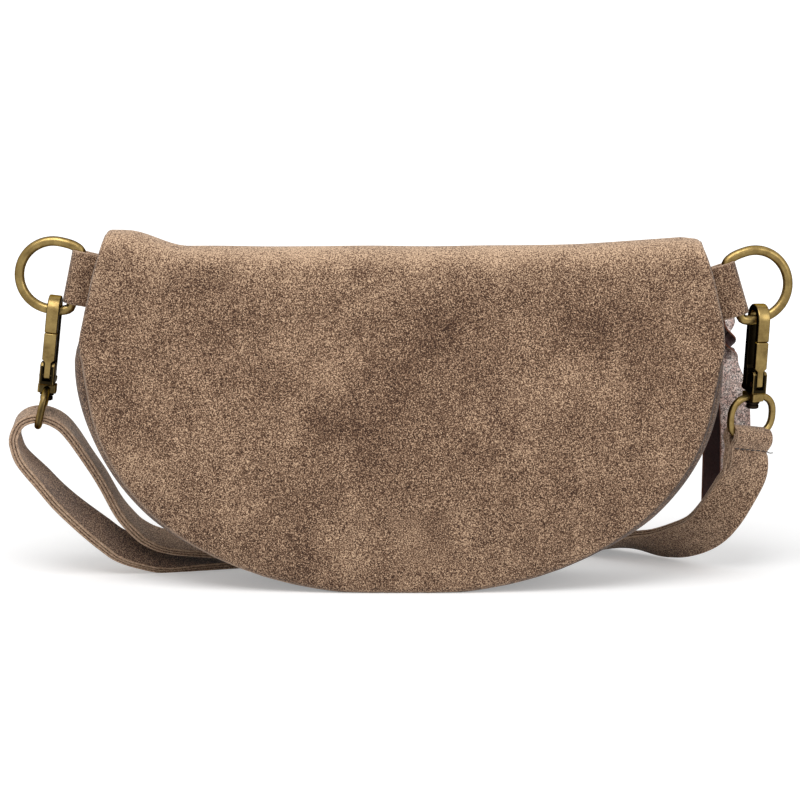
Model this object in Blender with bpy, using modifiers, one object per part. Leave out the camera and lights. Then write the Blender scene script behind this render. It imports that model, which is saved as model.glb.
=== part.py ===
"""Belt bag: a half-moon suede bag with a zip on its far side, two D-rings in tabs,
two swivel clasps and one adjustable strap that lies behind it.

Frame: +X to the right of the plain panel, +Y from the plain panel to the zip panel,
+Z up. The origin is the middle of the flat underside that the bag stands on."""

import math

import bmesh
import bpy
from mathutils import Matrix, Vector

MM = 0.001
UP = Vector((0.0, 0.0, 1.0))

# Gaps between neighbours
GAP = 0.3 * MM
PIN_GAP = 0.15 * MM
OVERRUN = 1.0 * MM
WELD = 0.002 * MM

# Bag: the half-moon outline at the panels' seams
SEAM_HALF_WIDTH = 137.0 * MM
TOP_HEIGHT = 147.5 * MM
CENTRE_HEIGHT_SHARE = 0.678
SEAM_CENTRE_HEIGHT = TOP_HEIGHT * CENTRE_HEIGHT_SHARE
OUTLINE_POWER = 2.15
BOTTOM_SAG = 1.5 * MM
CORNER_RISE = 5.0 * MM
RISE_DROP = 29.5 * MM
RISE_START_HEIGHT = TOP_HEIGHT - RISE_DROP
LEAN_IN = 8.5 * MM
LEAN_IN_SHARE = 0.705
LEAN_IN_START = TOP_HEIGHT * LEAN_IN_SHARE
GUSSET_BULGE = 3.5 * MM
BULGE_FULL_HEIGHT = 35.0 * MM

# Bag: depth, wall and crown
FAR_FACE_Y = 24.0 * MM
BASE_FRONT_Y = -24.0 * MM
TOP_THICKNESS = 28.0 * MM
PANEL_CROWN = 6.0 * MM
SUEDE = 1.8 * MM
LINING = 0.8 * MM
LINING_SPACE = 1.6 * MM

# Zip
ZIP_DROP = 35.5 * MM
ZIP_HEIGHT = TOP_HEIGHT - ZIP_DROP
ZIP_SLOT = 9.0 * MM
ZIP_END_INSET = 15.0 * MM
ZIP_HALF_LENGTH = SEAM_HALF_WIDTH - ZIP_END_INSET
TAPE_THICKNESS = 0.7 * MM
TAPE_LAP = 7.5 * MM
TOOTH_PITCH = 4.0 * MM
TOOTH_WIDTH = 1.7 * MM
TOOTH_REACH = 1.8 * MM
TOOTH_SPINE = 1.0 * MM
TOOTH_THICKNESS = 2.2 * MM
STOP_LENGTH = 2.4 * MM
SLIDER_LENGTH = 10.0 * MM
SLIDER_WALL = 1.4 * MM
SLIDER_BRIDGE = 2.4 * MM
BAIL_RADIUS = 3.6 * MM
BAIL_RISE = 1.6 * MM
BAIL_WIRE = 0.75 * MM
PULLER_LENGTH = 29.0 * MM
PULLER_WIDTH = 6.0 * MM
PULLER_THICKNESS = 1.4 * MM
PULLER_EYE = 1.3 * MM
PULLER_REST_DEG = 33.0

# Pull strip: one strip of leather through the puller's end hole
PULL_THICKNESS = 1.3 * MM
PULL_NECK_WIDTH = 4.2 * MM
PULL_TAIL_WIDTH = 14.0 * MM
PULL_HOLE = 3.0 * MM
PULL_NECK_LENGTH = 22.0 * MM
PULL_FRONT_END_HEIGHT = 36.0 * MM
PULL_BACK_END_HEIGHT = 30.0 * MM
PULL_FRONT_LENGTH = ZIP_HEIGHT - PULL_FRONT_END_HEIGHT
PULL_BACK_LENGTH = ZIP_HEIGHT - PULL_BACK_END_HEIGHT
PULL_SPREAD = 5.0 * MM
PULL_SHIFT = 7.0 * MM

# Tabs and D-rings
WIRE = 2.0 * MM
RING_RADIUS = 15.0 * MM
RING_CHORD = 10.0 * MM
RING_INNER_REACH = 13.5 * MM
RING_INNER_POWER = 3.0
RING_CORNER = 1.1 * MM
TAB_WIDTH = 22.0 * MM
TAB_FLAP = 9.0 * MM
LEFT_RING_OUT = 15.0 * MM
RIGHT_RING_OUT = 18.0 * MM
LEFT_RING_DROP = 12.7 * MM
RIGHT_RING_DROP = 16.9 * MM
RING_CENTRE_X = {"left": -SEAM_HALF_WIDTH - LEFT_RING_OUT, "right": SEAM_HALF_WIDTH + RIGHT_RING_OUT}
RING_CENTRE_Z = {"left": TOP_HEIGHT - LEFT_RING_DROP, "right": TOP_HEIGHT - RIGHT_RING_DROP}
LEFT_RING_LEAN_DEG = 12.0
RIGHT_RING_LEAN_DEG = 17.0
RING_LEAN_DEG = {"left": LEFT_RING_LEAN_DEG, "right": RIGHT_RING_LEAN_DEG}
LEFT_RING_YAW_DEG = 0.0
RIGHT_RING_YAW_DEG = 10.0
RING_YAW_DEG = {"left": LEFT_RING_YAW_DEG, "right": RIGHT_RING_YAW_DEG}
LEFT_HANG_IN = 3.2 * MM
RIGHT_HANG_IN = 2.5 * MM
HANG_OUT = {"left": -LEFT_HANG_IN, "right": -RIGHT_HANG_IN}

# Clasps: z runs up the clasp from the D-ring's wire, x towards the gate
HOOK_THICKNESS = 4.8 * MM
HOOK_BAR = 3.2 * MM
HOOK_INNER_HALF = 4.0 * MM
HOOK_SEAT_GAP = 1.4 * MM
HOOK_NOSE_DROP = 11.5 * MM
BASE_TOP_DROP = 22.0 * MM
BASE_BOTTOM_DROP = 34.0 * MM
GATE_THICKNESS = 2.8 * MM
GATE_PIVOT_DROP = 28.5 * MM
GATE_PIVOT_IN = 2.1 * MM
PIN_RADIUS = 0.8 * MM
SPRING_RADIUS = 0.9 * MM
SPRING_LENGTH = 3.0 * MM
SPRING_ABOVE_PIVOT = 3.6 * MM
RIVET_RADIUS = 1.5 * MM
RIVET_HEAD_RADIUS = 2.9 * MM
RIVET_HEAD_HEIGHT = 3.2 * MM
RIVET_SEAT = 3.0 * MM
COLLAR_RADIUS = 4.2 * MM
COLLAR_HEIGHT = 4.0 * MM
EYE_WIRE = 1.6 * MM
EYE_HALF_WIDTH = 15.2 * MM
EYE_HEIGHT = 17.5 * MM
EYE_SHOULDER = 8.0 * MM
EYE_CORNER = 2.5 * MM
LEFT_CLASP_YAW_DEG = 0.0
RIGHT_CLASP_YAW_DEG = 20.0
CLASP_YAW_DEG = {"left": LEFT_CLASP_YAW_DEG, "right": RIGHT_CLASP_YAW_DEG}
LEFT_CLASP_SLOPE_X = -0.115
RIGHT_CLASP_SLOPE_X = -0.045
CLASP_SLOPE_X = {"left": LEFT_CLASP_SLOPE_X, "right": RIGHT_CLASP_SLOPE_X}
LEFT_CLASP_SLOPE_Y = 0.05
RIGHT_CLASP_SLOPE_Y = 0.08
CLASP_SLOPE_Y = {"left": LEFT_CLASP_SLOPE_Y, "right": RIGHT_CLASP_SLOPE_Y}
LEFT_EYE_TURN_DEG = 15.6
RIGHT_EYE_TURN_DEG = 110.0
EYE_TURN_DEG = {"left": LEFT_EYE_TURN_DEG, "right": RIGHT_EYE_TURN_DEG}

# Strap
STRAP_WIDTH = 25.0 * MM
STRAP_THICKNESS = 3.2 * MM
STRAP_SKIVED = 1.5 * MM
STRAP_STEP = 5.0 * MM
FOLD_TAIL = 12.0 * MM
TURN_TAIL = 9.0 * MM
LEFT_LOOP_REACH = 52.0 * MM
FLOOR_START_SHARE = 1.12
ARCH_RISE = 8.3 * MM
LEFT_PLANE_SLOPE = 0.28
RIGHT_REACH = 80.0 * MM
STRAP_STRAIGHT_X = 0.0 * MM
FLOOR_JOINT_X = 62.0 * MM
END_GAPS = 3

# Adjusting buckle
BUCKLE_ALONG = 80.0 * MM
BUCKLE_HALF_LENGTH = 15.5 * MM
BUCKLE_HALF_WIDTH = 14.6 * MM
BUCKLE_WIRE = 1.5 * MM

# Inner pocket
POCKET_END_INSET = 77.0 * MM
POCKET_BOTTOM = 22.0 * MM
POCKET_DROP = 30.0 * MM
POCKET_DEPTH = 3.0 * MM
LINING_GAPS = 3

# Mesh counts
PANEL_COLUMNS = 24
PANEL_ROWS = 14
FOLD_STEPS = 6
GUSSET_STATIONS = 44
GUSSET_COLUMNS = 4
LINING_STATIONS = 18

# Lining: shares of the way down its far side, of the way up its near side, and of its narrowing
LINING_FAR_SHARES = (0.35, 0.7, 0.92)
LINING_NEAR_SHARES = (0.0, 0.12, 0.3, 0.55, 0.8)
LINING_FOLD_DEGS = (150, 110, 70, 35)
LINING_END_SHARE = 0.55
RING_ROUND_STEPS = 14
RING_SIDE_STEPS = 4

EDGE_LOW = ZIP_HEIGHT - ZIP_SLOT / 2
EDGE_HIGH = ZIP_HEIGHT + ZIP_SLOT / 2


def clear_scene():
    for obj in list(bpy.data.objects):
        bpy.data.objects.remove(obj, do_unlink=True)


def new_collection(name):
    collection = bpy.data.collections.new(name)
    bpy.context.scene.collection.children.link(collection)
    return collection


def make_material(name, colour, roughness, metallic):
    material = bpy.data.materials.new(name)
    material.use_nodes = True
    shader = material.node_tree.nodes["Principled BSDF"]
    shader.inputs["Base Color"].default_value = (*colour, 1.0)
    shader.inputs["Roughness"].default_value = roughness
    shader.inputs["Metallic"].default_value = metallic
    return material


clear_scene()
PARTS = new_collection("belt_bag")
CUTTERS = new_collection("belt_bag_cutters")
SUEDE_LOOK = make_material("suede", (0.30, 0.20, 0.145), 0.95, 0.0)
LINING_LOOK = make_material("lining", (0.12, 0.09, 0.075), 0.8, 0.0)
TAPE_LOOK = make_material("zip_tape", (0.16, 0.115, 0.085), 0.85, 0.0)
BRASS_LOOK = make_material("antique_brass", (0.42, 0.30, 0.12), 0.35, 1.0)
STEEL_LOOK = make_material("spring_steel", (0.5, 0.5, 0.5), 0.35, 1.0)
PULL_LOOK = make_material("metallic_leather", (0.50, 0.40, 0.38), 0.45, 0.3)


def add_object(name, mesh, look, matrix=None, collection=None):
    obj = bpy.data.objects.new(name, mesh)
    (collection or PARTS).objects.link(obj)
    if matrix is not None:
        obj.matrix_world = matrix
    if look is not None:
        mesh.materials.append(look)
    return obj


def shade(obj):
    obj.data.shade_smooth()
    obj.data.set_sharp_from_angle(angle=math.radians(35))


def mesh_of(curve_object):
    """The curve as a welded mesh, in place of the curve."""
    bpy.context.view_layer.update()
    evaluated = curve_object.evaluated_get(bpy.context.evaluated_depsgraph_get())
    mesh = bpy.data.meshes.new_from_object(evaluated)
    work = bmesh.new()
    work.from_mesh(mesh)
    bmesh.ops.remove_doubles(work, verts=work.verts, dist=WELD)
    bmesh.ops.recalc_face_normals(work, faces=work.faces)
    work.to_mesh(mesh)
    work.free()
    mesh.materials.clear()
    bpy.data.objects.remove(curve_object, do_unlink=True)
    return mesh


def wire_mesh(points, radius, closed, resolution=2):
    """A round wire along the points."""
    curve = bpy.data.curves.new("wire", "CURVE")
    curve.dimensions = "3D"
    curve.bevel_depth = radius
    curve.bevel_resolution = resolution
    curve.use_fill_caps = not closed
    spline = curve.splines.new("POLY")
    spline.points.add(len(points) - 1)
    for spot, point in zip(spline.points, points):
        spot.co = (*point, 1.0)
    spline.use_cyclic_u = closed
    obj = bpy.data.objects.new("wire", curve)
    CUTTERS.objects.link(obj)
    return mesh_of(obj)


def plate_mesh(outlines, thickness):
    """A flat outline with holes, extruded both ways from its plane."""
    curve = bpy.data.curves.new("plate", "CURVE")
    curve.dimensions = "2D"
    curve.fill_mode = "BOTH"
    curve.extrude = thickness / 2
    for outline in outlines:
        spline = curve.splines.new("POLY")
        spline.points.add(len(outline) - 1)
        for spot, point in zip(spline.points, outline):
            spot.co = (point[0], point[1], 0.0, 1.0)
        spline.use_cyclic_u = True
    obj = bpy.data.objects.new("plate", curve)
    CUTTERS.objects.link(obj)
    return mesh_of(obj)


def arc(centre, radius, start_deg, end_deg, steps, radius_y=None):
    """Points along an arc, both ends included."""
    tall = radius if radius_y is None else radius_y
    points = []
    for step in range(steps + 1):
        angle = math.radians(start_deg + (end_deg - start_deg) * step / steps)
        points.append((centre[0] + radius * math.cos(angle), centre[1] + tall * math.sin(angle)))
    return points


def sheet(name, rows, thickness, look, offset=-1.0, origin=None):
    """A grid of points, given a thickness: the shell of a panel, strip or pocket."""
    origin = Vector() if origin is None else origin
    columns = len(rows[0])
    points = [point - origin for row in rows for point in row]
    faces = []
    for row in range(len(rows) - 1):
        for column in range(columns - 1):
            here = row * columns + column
            faces.append((here, here + 1, here + columns + 1, here + columns))
    mesh = bpy.data.meshes.new(name)
    mesh.from_pydata(points, [], faces)
    obj = add_object(name, mesh, look, Matrix.Translation(origin))
    solid = obj.modifiers.new("thickness", "SOLIDIFY")
    solid.thickness = thickness
    solid.offset = offset
    shade(obj)
    return obj


def boolean(obj, other, operation):
    modifier = obj.modifiers.new(other.name, "BOOLEAN")
    modifier.operation = operation
    modifier.object = other
    other.hide_render = True
    other.display_type = "WIRE"


def cutter(name, mesh, matrix=None):
    return add_object(name, mesh, None, matrix, CUTTERS)


def box_mesh(low, high):
    mesh = bpy.data.meshes.new("box")
    work = bmesh.new()
    bmesh.ops.create_cube(work, size=1.0)
    size = Vector(high) - Vector(low)
    middle = (Vector(high) + Vector(low)) / 2
    bmesh.ops.scale(work, vec=size, verts=work.verts)
    bmesh.ops.translate(work, vec=middle, verts=work.verts)
    work.to_mesh(mesh)
    work.free()
    return mesh


def cylinder_mesh(radius, low, high, sides=16):
    """A cylinder along Z between two heights."""
    mesh = bpy.data.meshes.new("cylinder")
    work = bmesh.new()
    bmesh.ops.create_cone(work, cap_ends=True, segments=sides, radius1=radius, radius2=radius,
                          depth=high - low)
    bmesh.ops.translate(work, vec=(0.0, 0.0, (high + low) / 2), verts=work.verts)
    work.to_mesh(mesh)
    work.free()
    return mesh


def turned(name, profile, look, matrix, closed=False, steps=20):
    """A profile of (radius, height) points, outer side first and downwards, turned round Z."""
    count = len(profile)
    edges = [(index, index + 1) for index in range(count - 1)]
    if closed:
        edges.append((count - 1, 0))
    mesh = bpy.data.meshes.new(name)
    mesh.from_pydata([(radius, 0.0, height) for radius, height in profile], edges, [])
    obj = add_object(name, mesh, look, matrix)
    screw = obj.modifiers.new("turn", "SCREW")
    screw.steps = steps
    screw.render_steps = steps
    screw.use_merge_vertices = True
    screw.merge_threshold = WELD
    return obj


def smooth(low, high, value):
    share = min(1.0, max(0.0, (value - low) / (high - low)))
    return share * share * (3 - 2 * share)


def frame(origin, x_axis, y_axis, z_axis):
    """A placing matrix from an origin and three unit axes."""
    matrix = Matrix((x_axis, y_axis, z_axis)).transposed().to_4x4()
    matrix.translation = origin
    return matrix


FACING = Matrix.Rotation(math.radians(90), 4, "X")


# Shape of the bag

def seam_half_width(height):
    """Half the width of a panel at a height, along its seam."""
    drop = max(0.0, SEAM_CENTRE_HEIGHT - (height + BOTTOM_SAG)) / SEAM_CENTRE_HEIGHT
    width = SEAM_HALF_WIDTH * max(0.0, 1 - drop ** OUTLINE_POWER) ** (1 / OUTLINE_POWER)
    above = max(0.0, height - LEAN_IN_START) / (TOP_HEIGHT - LEAN_IN_START)
    return width - LEAN_IN * above ** 2


def front_seam_y(height):
    """Depth of the front panel's seam: it leans back towards the top."""
    share = max(0.0, height) / TOP_HEIGHT
    return BASE_FRONT_Y + (FAR_FACE_Y - TOP_THICKNESS - BASE_FRONT_Y) * share ** 1.5


def crown(height, across_share):
    """How far the front panel bulges from its seam."""
    up_share = min(1.0, max(0.0, height) / (TOP_HEIGHT - TOP_THICKNESS / 2))
    rise = math.sin(math.pi * min(1.0, up_share * 1.15 + 0.12)) if up_share < 1 else 0.0
    return PANEL_CROWN * max(0.0, rise) * (1 - across_share ** 4)


def top_rise(height, across_share):
    """The top edge sags between its raised corners."""
    weight = smooth(RISE_START_HEIGHT, TOP_HEIGHT, height)
    return CORNER_RISE * weight * abs(across_share) ** 3


def panel_heights(top, count):
    """Heights for a panel's rows, closest together where the outline runs flat."""
    heights = []
    for step in range(count + 1):
        angle = math.pi / 2 * step / count
        heights.append(top * (1 - math.cos(angle)) * 0.62 + top * 0.38 * (step / count) ** 1.5)
    return heights


def across_shares(count):
    return [math.sin(math.pi / 2 * (2 * step / count - 1)) * 0.35
            + (2 * step / count - 1) * 0.65 for step in range(count + 1)]


def row_at(height, depth_of, half_width):
    """One row of a panel: points across the bag at a height."""
    row = []
    for share in across_shares(PANEL_COLUMNS):
        row.append(Vector((share * half_width, depth_of(share),
                           height + top_rise(height, share))))
    return row


def make_main_panel():
    """The plain panel, folded over the top and down to the zip."""
    fold_radius = TOP_THICKNESS / 2
    fold_height = TOP_HEIGHT - fold_radius
    fold_y = FAR_FACE_Y - fold_radius
    rows = []
    for height in panel_heights(fold_height, PANEL_ROWS):
        half_width = seam_half_width(height)
        rows.append(row_at(height, lambda share, z=height: front_seam_y(z) - crown(z, share)
                           + blend_to_fold(z, fold_height, fold_y - fold_radius), half_width))
    for step in range(1, FOLD_STEPS + 1):
        angle = math.pi * step / FOLD_STEPS
        height = fold_height + fold_radius * math.sin(angle)
        depth = fold_y - fold_radius * math.cos(angle)
        rows.append(row_at(height, lambda share, y=depth: y, seam_half_width(height)))
    rows.append(row_at(EDGE_HIGH, lambda share: FAR_FACE_Y, seam_half_width(EDGE_HIGH)))
    return sheet("main_panel", rows, SUEDE, SUEDE_LOOK)


def blend_to_fold(height, fold_height, fold_front_y):
    """Moves the front panel's upper rows onto the fold's front."""
    weight = smooth(fold_height / 2, fold_height, height)
    return (fold_front_y - front_seam_y(fold_height)) * weight


def make_far_panel():
    rows = []
    for height in reversed(panel_heights(EDGE_LOW, PANEL_ROWS)):
        rows.append(row_at(height, lambda share: FAR_FACE_Y, seam_half_width(height)))
    return sheet("far_panel", rows, SUEDE, SUEDE_LOOK)


def outline_point(share):
    """A point on the half-moon seam, from the top left (0) round the bottom to the top right (1)."""
    gusset_top = TOP_HEIGHT - TOP_THICKNESS / 2
    turn = abs(2 * share - 1)
    side = -1.0 if share < 0.5 else 1.0
    straight_share = 0.18
    if turn > 1 - straight_share:
        height = SEAM_CENTRE_HEIGHT + (gusset_top - SEAM_CENTRE_HEIGHT) * (
            (turn - 1 + straight_share) / straight_share)
        return side * seam_half_width(height), height
    angle = math.pi / 2 * turn / (1 - straight_share)
    power = 2 / OUTLINE_POWER
    x = side * SEAM_HALF_WIDTH * math.sin(angle) ** power
    height = SEAM_CENTRE_HEIGHT * (1 - math.cos(angle) ** power) - BOTTOM_SAG
    return x, max(0.0, height)


def make_gusset():
    """The band between the two panels, bulging beyond their seams at the sides."""
    points = [outline_point(step / GUSSET_STATIONS) for step in range(GUSSET_STATIONS + 1)]
    rows = []
    for index, (x, height) in enumerate(points):
        before = points[max(0, index - 1)]
        after = points[min(GUSSET_STATIONS, index + 1)]
        along = Vector((after[0] - before[0], after[1] - before[1])).normalized()
        outward = Vector((along.y, -along.x))
        bulge = GUSSET_BULGE * smooth(0.0, BULGE_FULL_HEIGHT, height)
        low = front_seam_y(height) + blend_to_fold(
            height, TOP_HEIGHT - TOP_THICKNESS / 2, FAR_FACE_Y - TOP_THICKNESS) + SUEDE + GAP
        high = FAR_FACE_Y - SUEDE - GAP
        row = []
        for column in range(GUSSET_COLUMNS + 1):
            share = 2 * column / GUSSET_COLUMNS - 1
            out = bulge * (1 - share ** 2)
            row.append(Vector((x + outward.x * out, low + (high - low) * (share + 1) / 2,
                               max(0.0, height + outward.y * out))))
        rows.append(row)
    return sheet("gusset", rows, SUEDE, SUEDE_LOOK)


def bottom_height_at(x):
    """Height of the half-moon seam's lower part at a distance from the middle."""
    reach = min(1.0, abs(x) / SEAM_HALF_WIDTH)
    drop = max(0.0, 1 - reach ** OUTLINE_POWER) ** (1 / OUTLINE_POWER)
    return max(0.0, SEAM_CENTRE_HEIGHT * (1 - drop) - BOTTOM_SAG)


def make_lining():
    """The cloth bag inside, open along the zip."""
    inside = SUEDE + LINING_SPACE
    reach = SEAM_HALF_WIDTH - 2 * inside - CORNER_RISE
    rows = []
    slot_low = EDGE_LOW - GAP
    slot_high = EDGE_HIGH + GAP
    far = FAR_FACE_Y - SUEDE - TAPE_THICKNESS - LINING_GAPS * GAP
    for step in range(LINING_STATIONS + 1):
        x = reach * math.sin(math.pi / 2 * (2 * step / LINING_STATIONS - 1))
        closing = 1 - abs(x / reach) ** 6 * LINING_END_SHARE
        share = abs(x) / SEAM_HALF_WIDTH
        floor = bottom_height_at(x) + inside + SUEDE
        top = TOP_HEIGHT - inside - GAP
        row = [Vector((x, far, slot_low))]
        for part in LINING_FAR_SHARES:
            row.append(Vector((x, far, slot_low + (floor - slot_low) * part)))
        row.append(Vector((x, far - inside, floor)))
        for part in LINING_NEAR_SHARES:
            height = floor + (top - floor) * part
            seam = front_seam_y(height) + blend_to_fold(
                height, TOP_HEIGHT - TOP_THICKNESS / 2, FAR_FACE_Y - TOP_THICKNESS)
            near = seam - crown(height, share) * 0.6 + inside + (inside if part == 0.0 else 0.0)
            row.append(Vector((x, far - (far - near) * closing, height)))
        middle = FAR_FACE_Y - TOP_THICKNESS / 2
        radius = TOP_THICKNESS / 2 - inside
        for angle_deg in LINING_FOLD_DEGS:
            angle = math.radians(angle_deg)
            near = middle + radius * math.cos(angle)
            height = TOP_HEIGHT - TOP_THICKNESS / 2 + radius * math.sin(angle)
            row.append(Vector((x, far - (far - near) * closing, height)))
        row.append(Vector((x, far, slot_high + (top - slot_high) * 0.25)))
        row.append(Vector((x, far, slot_high)))
        rows.append(row)
    return sheet("lining", rows, LINING, LINING_LOOK, offset=1.0)


def make_inner_pocket():
    """A flat pocket on the far side of the lining, open at its top."""
    back = FAR_FACE_Y - SUEDE - TAPE_THICKNESS - LINING_GAPS * GAP - LINING - GAP
    front = back - POCKET_DEPTH
    top = ZIP_HEIGHT - POCKET_DROP
    half = SEAM_HALF_WIDTH - POCKET_END_INSET
    edge = POCKET_DEPTH
    rows = []
    for height, depth in ((POCKET_BOTTOM, back), (POCKET_BOTTOM + edge, front), (top, front)):
        row = []
        for x, side_depth in ((-half, back), (-half + edge, depth), (-half / 2, depth),
                              (0.0, depth), (half / 2, depth), (half - edge, depth), (half, back)):
            row.append(Vector((x, side_depth, height)))
        rows.append(row)
    return sheet("inner_pocket", rows, LINING, LINING_LOOK, offset=1.0)


# Zip

def teeth_outline(up, low_x, high_x):
    """One row of teeth: a spine with teeth across the middle of the zip."""
    count = int((high_x - low_x) / TOOTH_PITCH)
    tip = ZIP_HEIGHT - up * (TOOTH_REACH / 2 - TOOTH_SPINE / 10)
    root = tip + up * TOOTH_REACH
    back = root + up * TOOTH_SPINE
    start = low_x + (TOOTH_PITCH / 2 if up > 0 else 0.0)
    points = [(low_x, back), (low_x, root)]
    for tooth in range(count):
        left = start + tooth * TOOTH_PITCH + (TOOTH_PITCH / 2 - TOOTH_WIDTH) / 2
        if left + TOOTH_WIDTH > high_x:
            break
        points += [(left, root), (left, tip), (left + TOOTH_WIDTH, tip), (left + TOOTH_WIDTH, root)]
    points += [(high_x, root), (high_x, back)]
    return points


TEETH_Y = FAR_FACE_Y - SUEDE - GAP - TAPE_THICKNESS / 2
TAPE_EDGE = TOOTH_REACH / 2 + TOOTH_SPINE / 10 + TOOTH_SPINE + GAP


def make_zip():
    """Tapes, rows of teeth and stops. The zip closes towards +X."""
    teeth_end = ZIP_HALF_LENGTH - SLIDER_LENGTH / 2
    for name, up in (("upper", 1.0), ("lower", -1.0)):
        outline = teeth_outline(up, -ZIP_HALF_LENGTH, teeth_end)
        mesh = plate_mesh([outline], TOOTH_THICKNESS)
        add_object("zip_teeth_" + name, mesh, BRASS_LOOK,
                   Matrix.Translation((0.0, TEETH_Y, 0.0)) @ FACING)
        near = ZIP_HEIGHT + up * TAPE_EDGE
        far = ZIP_HEIGHT + up * (ZIP_SLOT / 2 + TAPE_LAP)
        low = (-ZIP_HALF_LENGTH - STOP_LENGTH, TEETH_Y - TAPE_THICKNESS / 2, min(near, far))
        high = (ZIP_HALF_LENGTH + STOP_LENGTH, TEETH_Y + TAPE_THICKNESS / 2, max(near, far))
        add_object("zip_tape_" + name, box_mesh(low, high), TAPE_LOOK)
        stop_low = ZIP_HEIGHT + up * GAP
        stop_high = ZIP_HEIGHT + up * (TAPE_EDGE - GAP)
        start = ZIP_HALF_LENGTH + SLIDER_LENGTH / 2 + GAP
        add_object("zip_top_stop_" + name, box_mesh(
            (start - SLIDER_LENGTH / 4, TEETH_Y - TOOTH_THICKNESS / 2, min(stop_low, stop_high)),
            (start - SLIDER_LENGTH / 4 + STOP_LENGTH, TEETH_Y + TOOTH_THICKNESS / 2,
             max(stop_low, stop_high))), BRASS_LOOK)
    end = -ZIP_HALF_LENGTH - GAP
    half = TAPE_EDGE - GAP
    add_object("zip_bottom_stop", box_mesh(
        (end - STOP_LENGTH, TEETH_Y - TOOTH_THICKNESS / 2, ZIP_HEIGHT - half),
        (end, TEETH_Y + TOOTH_THICKNESS / 2, ZIP_HEIGHT + half)), BRASS_LOOK)


SLIDER_X = ZIP_HALF_LENGTH - SLIDER_LENGTH / 4
SLIDER_HALF_THICK = TOOTH_THICKNESS / 2 + GAP + SLIDER_WALL
SLIDER_HALF_HIGH = ZIP_SLOT / 2 - GAP
BAIL_AXIS = Vector((SLIDER_X, TEETH_Y + SLIDER_HALF_THICK + BAIL_RISE, ZIP_HEIGHT))


def make_slider():
    """Two plates round the teeth, joined by a bridge, with a bail for the puller."""
    half = SLIDER_LENGTH / 2
    place = Matrix.Translation((SLIDER_X, TEETH_Y, ZIP_HEIGHT))
    corner = Vector((half, SLIDER_HALF_THICK, SLIDER_HALF_HIGH))
    body = add_object("zip_slider", box_mesh(-corner, corner), BRASS_LOOK, place)
    corner = Vector((half + OVERRUN, TOOTH_THICKNESS / 2 + GAP, TAPE_EDGE))
    boolean(body, cutter("slider_channel", box_mesh(-corner, corner), place), "DIFFERENCE")
    corner = Vector((half + OVERRUN, TAPE_THICKNESS / 2 + GAP, SLIDER_HALF_HIGH + OVERRUN))
    boolean(body, cutter("slider_slots", box_mesh(-corner, corner), place), "DIFFERENCE")
    inner = SLIDER_HALF_THICK - SLIDER_WALL / 2
    bridge_low = (half - SLIDER_BRIDGE, -inner, -SLIDER_BRIDGE / 2)
    bridge_high = (half - SLIDER_WALL / 2, inner, SLIDER_BRIDGE / 2)
    boolean(body, cutter("slider_bridge", box_mesh(bridge_low, bridge_high), place), "UNION")
    foot = -(BAIL_RISE + SLIDER_WALL / 2)
    path = [(BAIL_RADIUS, foot)] + arc((0.0, 0.0), BAIL_RADIUS, 0, 180, 10) + [(-BAIL_RADIUS, foot)]
    points = [Vector((x, y, 0.0)) for x, y in path]
    bail = cutter("slider_bail", wire_mesh(points, BAIL_WIRE, False, 1), Matrix.Translation(BAIL_AXIS))
    boolean(body, bail, "UNION")
    return body


def puller_frame():
    """Placing of the puller: x along it from the bail's middle, y across, z its thickness."""
    turn = math.radians(PULLER_REST_DEG)
    along = Vector((math.cos(turn), math.sin(turn), 0.0))
    return frame(BAIL_AXIS, along, UP, along.cross(UP))


PULLER_END = BAIL_RADIUS + PULLER_LENGTH


def make_puller():
    """A flat tag with an eye round the bail and a hole for the leather."""
    half = PULLER_WIDTH / 2
    eye_out = PULLER_EYE + SLIDER_WALL * 0.7
    hole_out = PULL_HOLE + PULLER_WIDTH * 0.2
    outline = arc((BAIL_RADIUS, 0.0), eye_out, 70, 290, 8)
    outline += [(BAIL_RADIUS + half, -half * 0.8)]
    outline += [(PULLER_END - hole_out, -half)] + arc((PULLER_END, 0.0), hole_out, -80, 80, 8)
    outline += [(PULLER_END - hole_out, half), (BAIL_RADIUS + half, half * 0.8)]
    eye = list(reversed(arc((BAIL_RADIUS, 0.0), PULLER_EYE, 0, 330, 11)))
    hole = list(reversed(arc((PULLER_END, 0.0), PULL_HOLE, 0, 330, 11)))
    mesh = plate_mesh([outline, eye, hole], PULLER_THICKNESS)
    return add_object("zip_puller", mesh, BRASS_LOOK, puller_frame())


# Ribbons: straps, tabs and the pull strip

def through(points, per_span=6):
    """A smooth curve through the points."""
    result = []
    last = len(points) - 1
    for index in range(last):
        p0 = points[max(0, index - 1)]
        p1 = points[index]
        p2 = points[index + 1]
        p3 = points[min(last, index + 2)]
        for step in range(per_span):
            t = step / per_span
            result.append(0.5 * ((2 * p1) + (p2 - p0) * t + (2 * p0 - 5 * p1 + 4 * p2 - p3) * t ** 2
                                 + (3 * p1 - p0 - 3 * p2 + p3) * t ** 3))
    result.append(points[last].copy())
    return result


def spaced(points, step):
    """Points at even steps along a line of points."""
    lengths = [0.0]
    for first, second in zip(points, points[1:]):
        lengths.append(lengths[-1] + (second - first).length)
    total = lengths[-1]
    count = max(2, round(total / step))
    result = []
    index = 0
    for mark in range(count + 1):
        want = total * mark / count
        while index < len(lengths) - 2 and lengths[index + 1] < want:
            index += 1
        span = lengths[index + 1] - lengths[index]
        share = 0.0 if span == 0 else (want - lengths[index]) / span
        result.append(points[index].lerp(points[index + 1], share))
    return result


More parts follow.
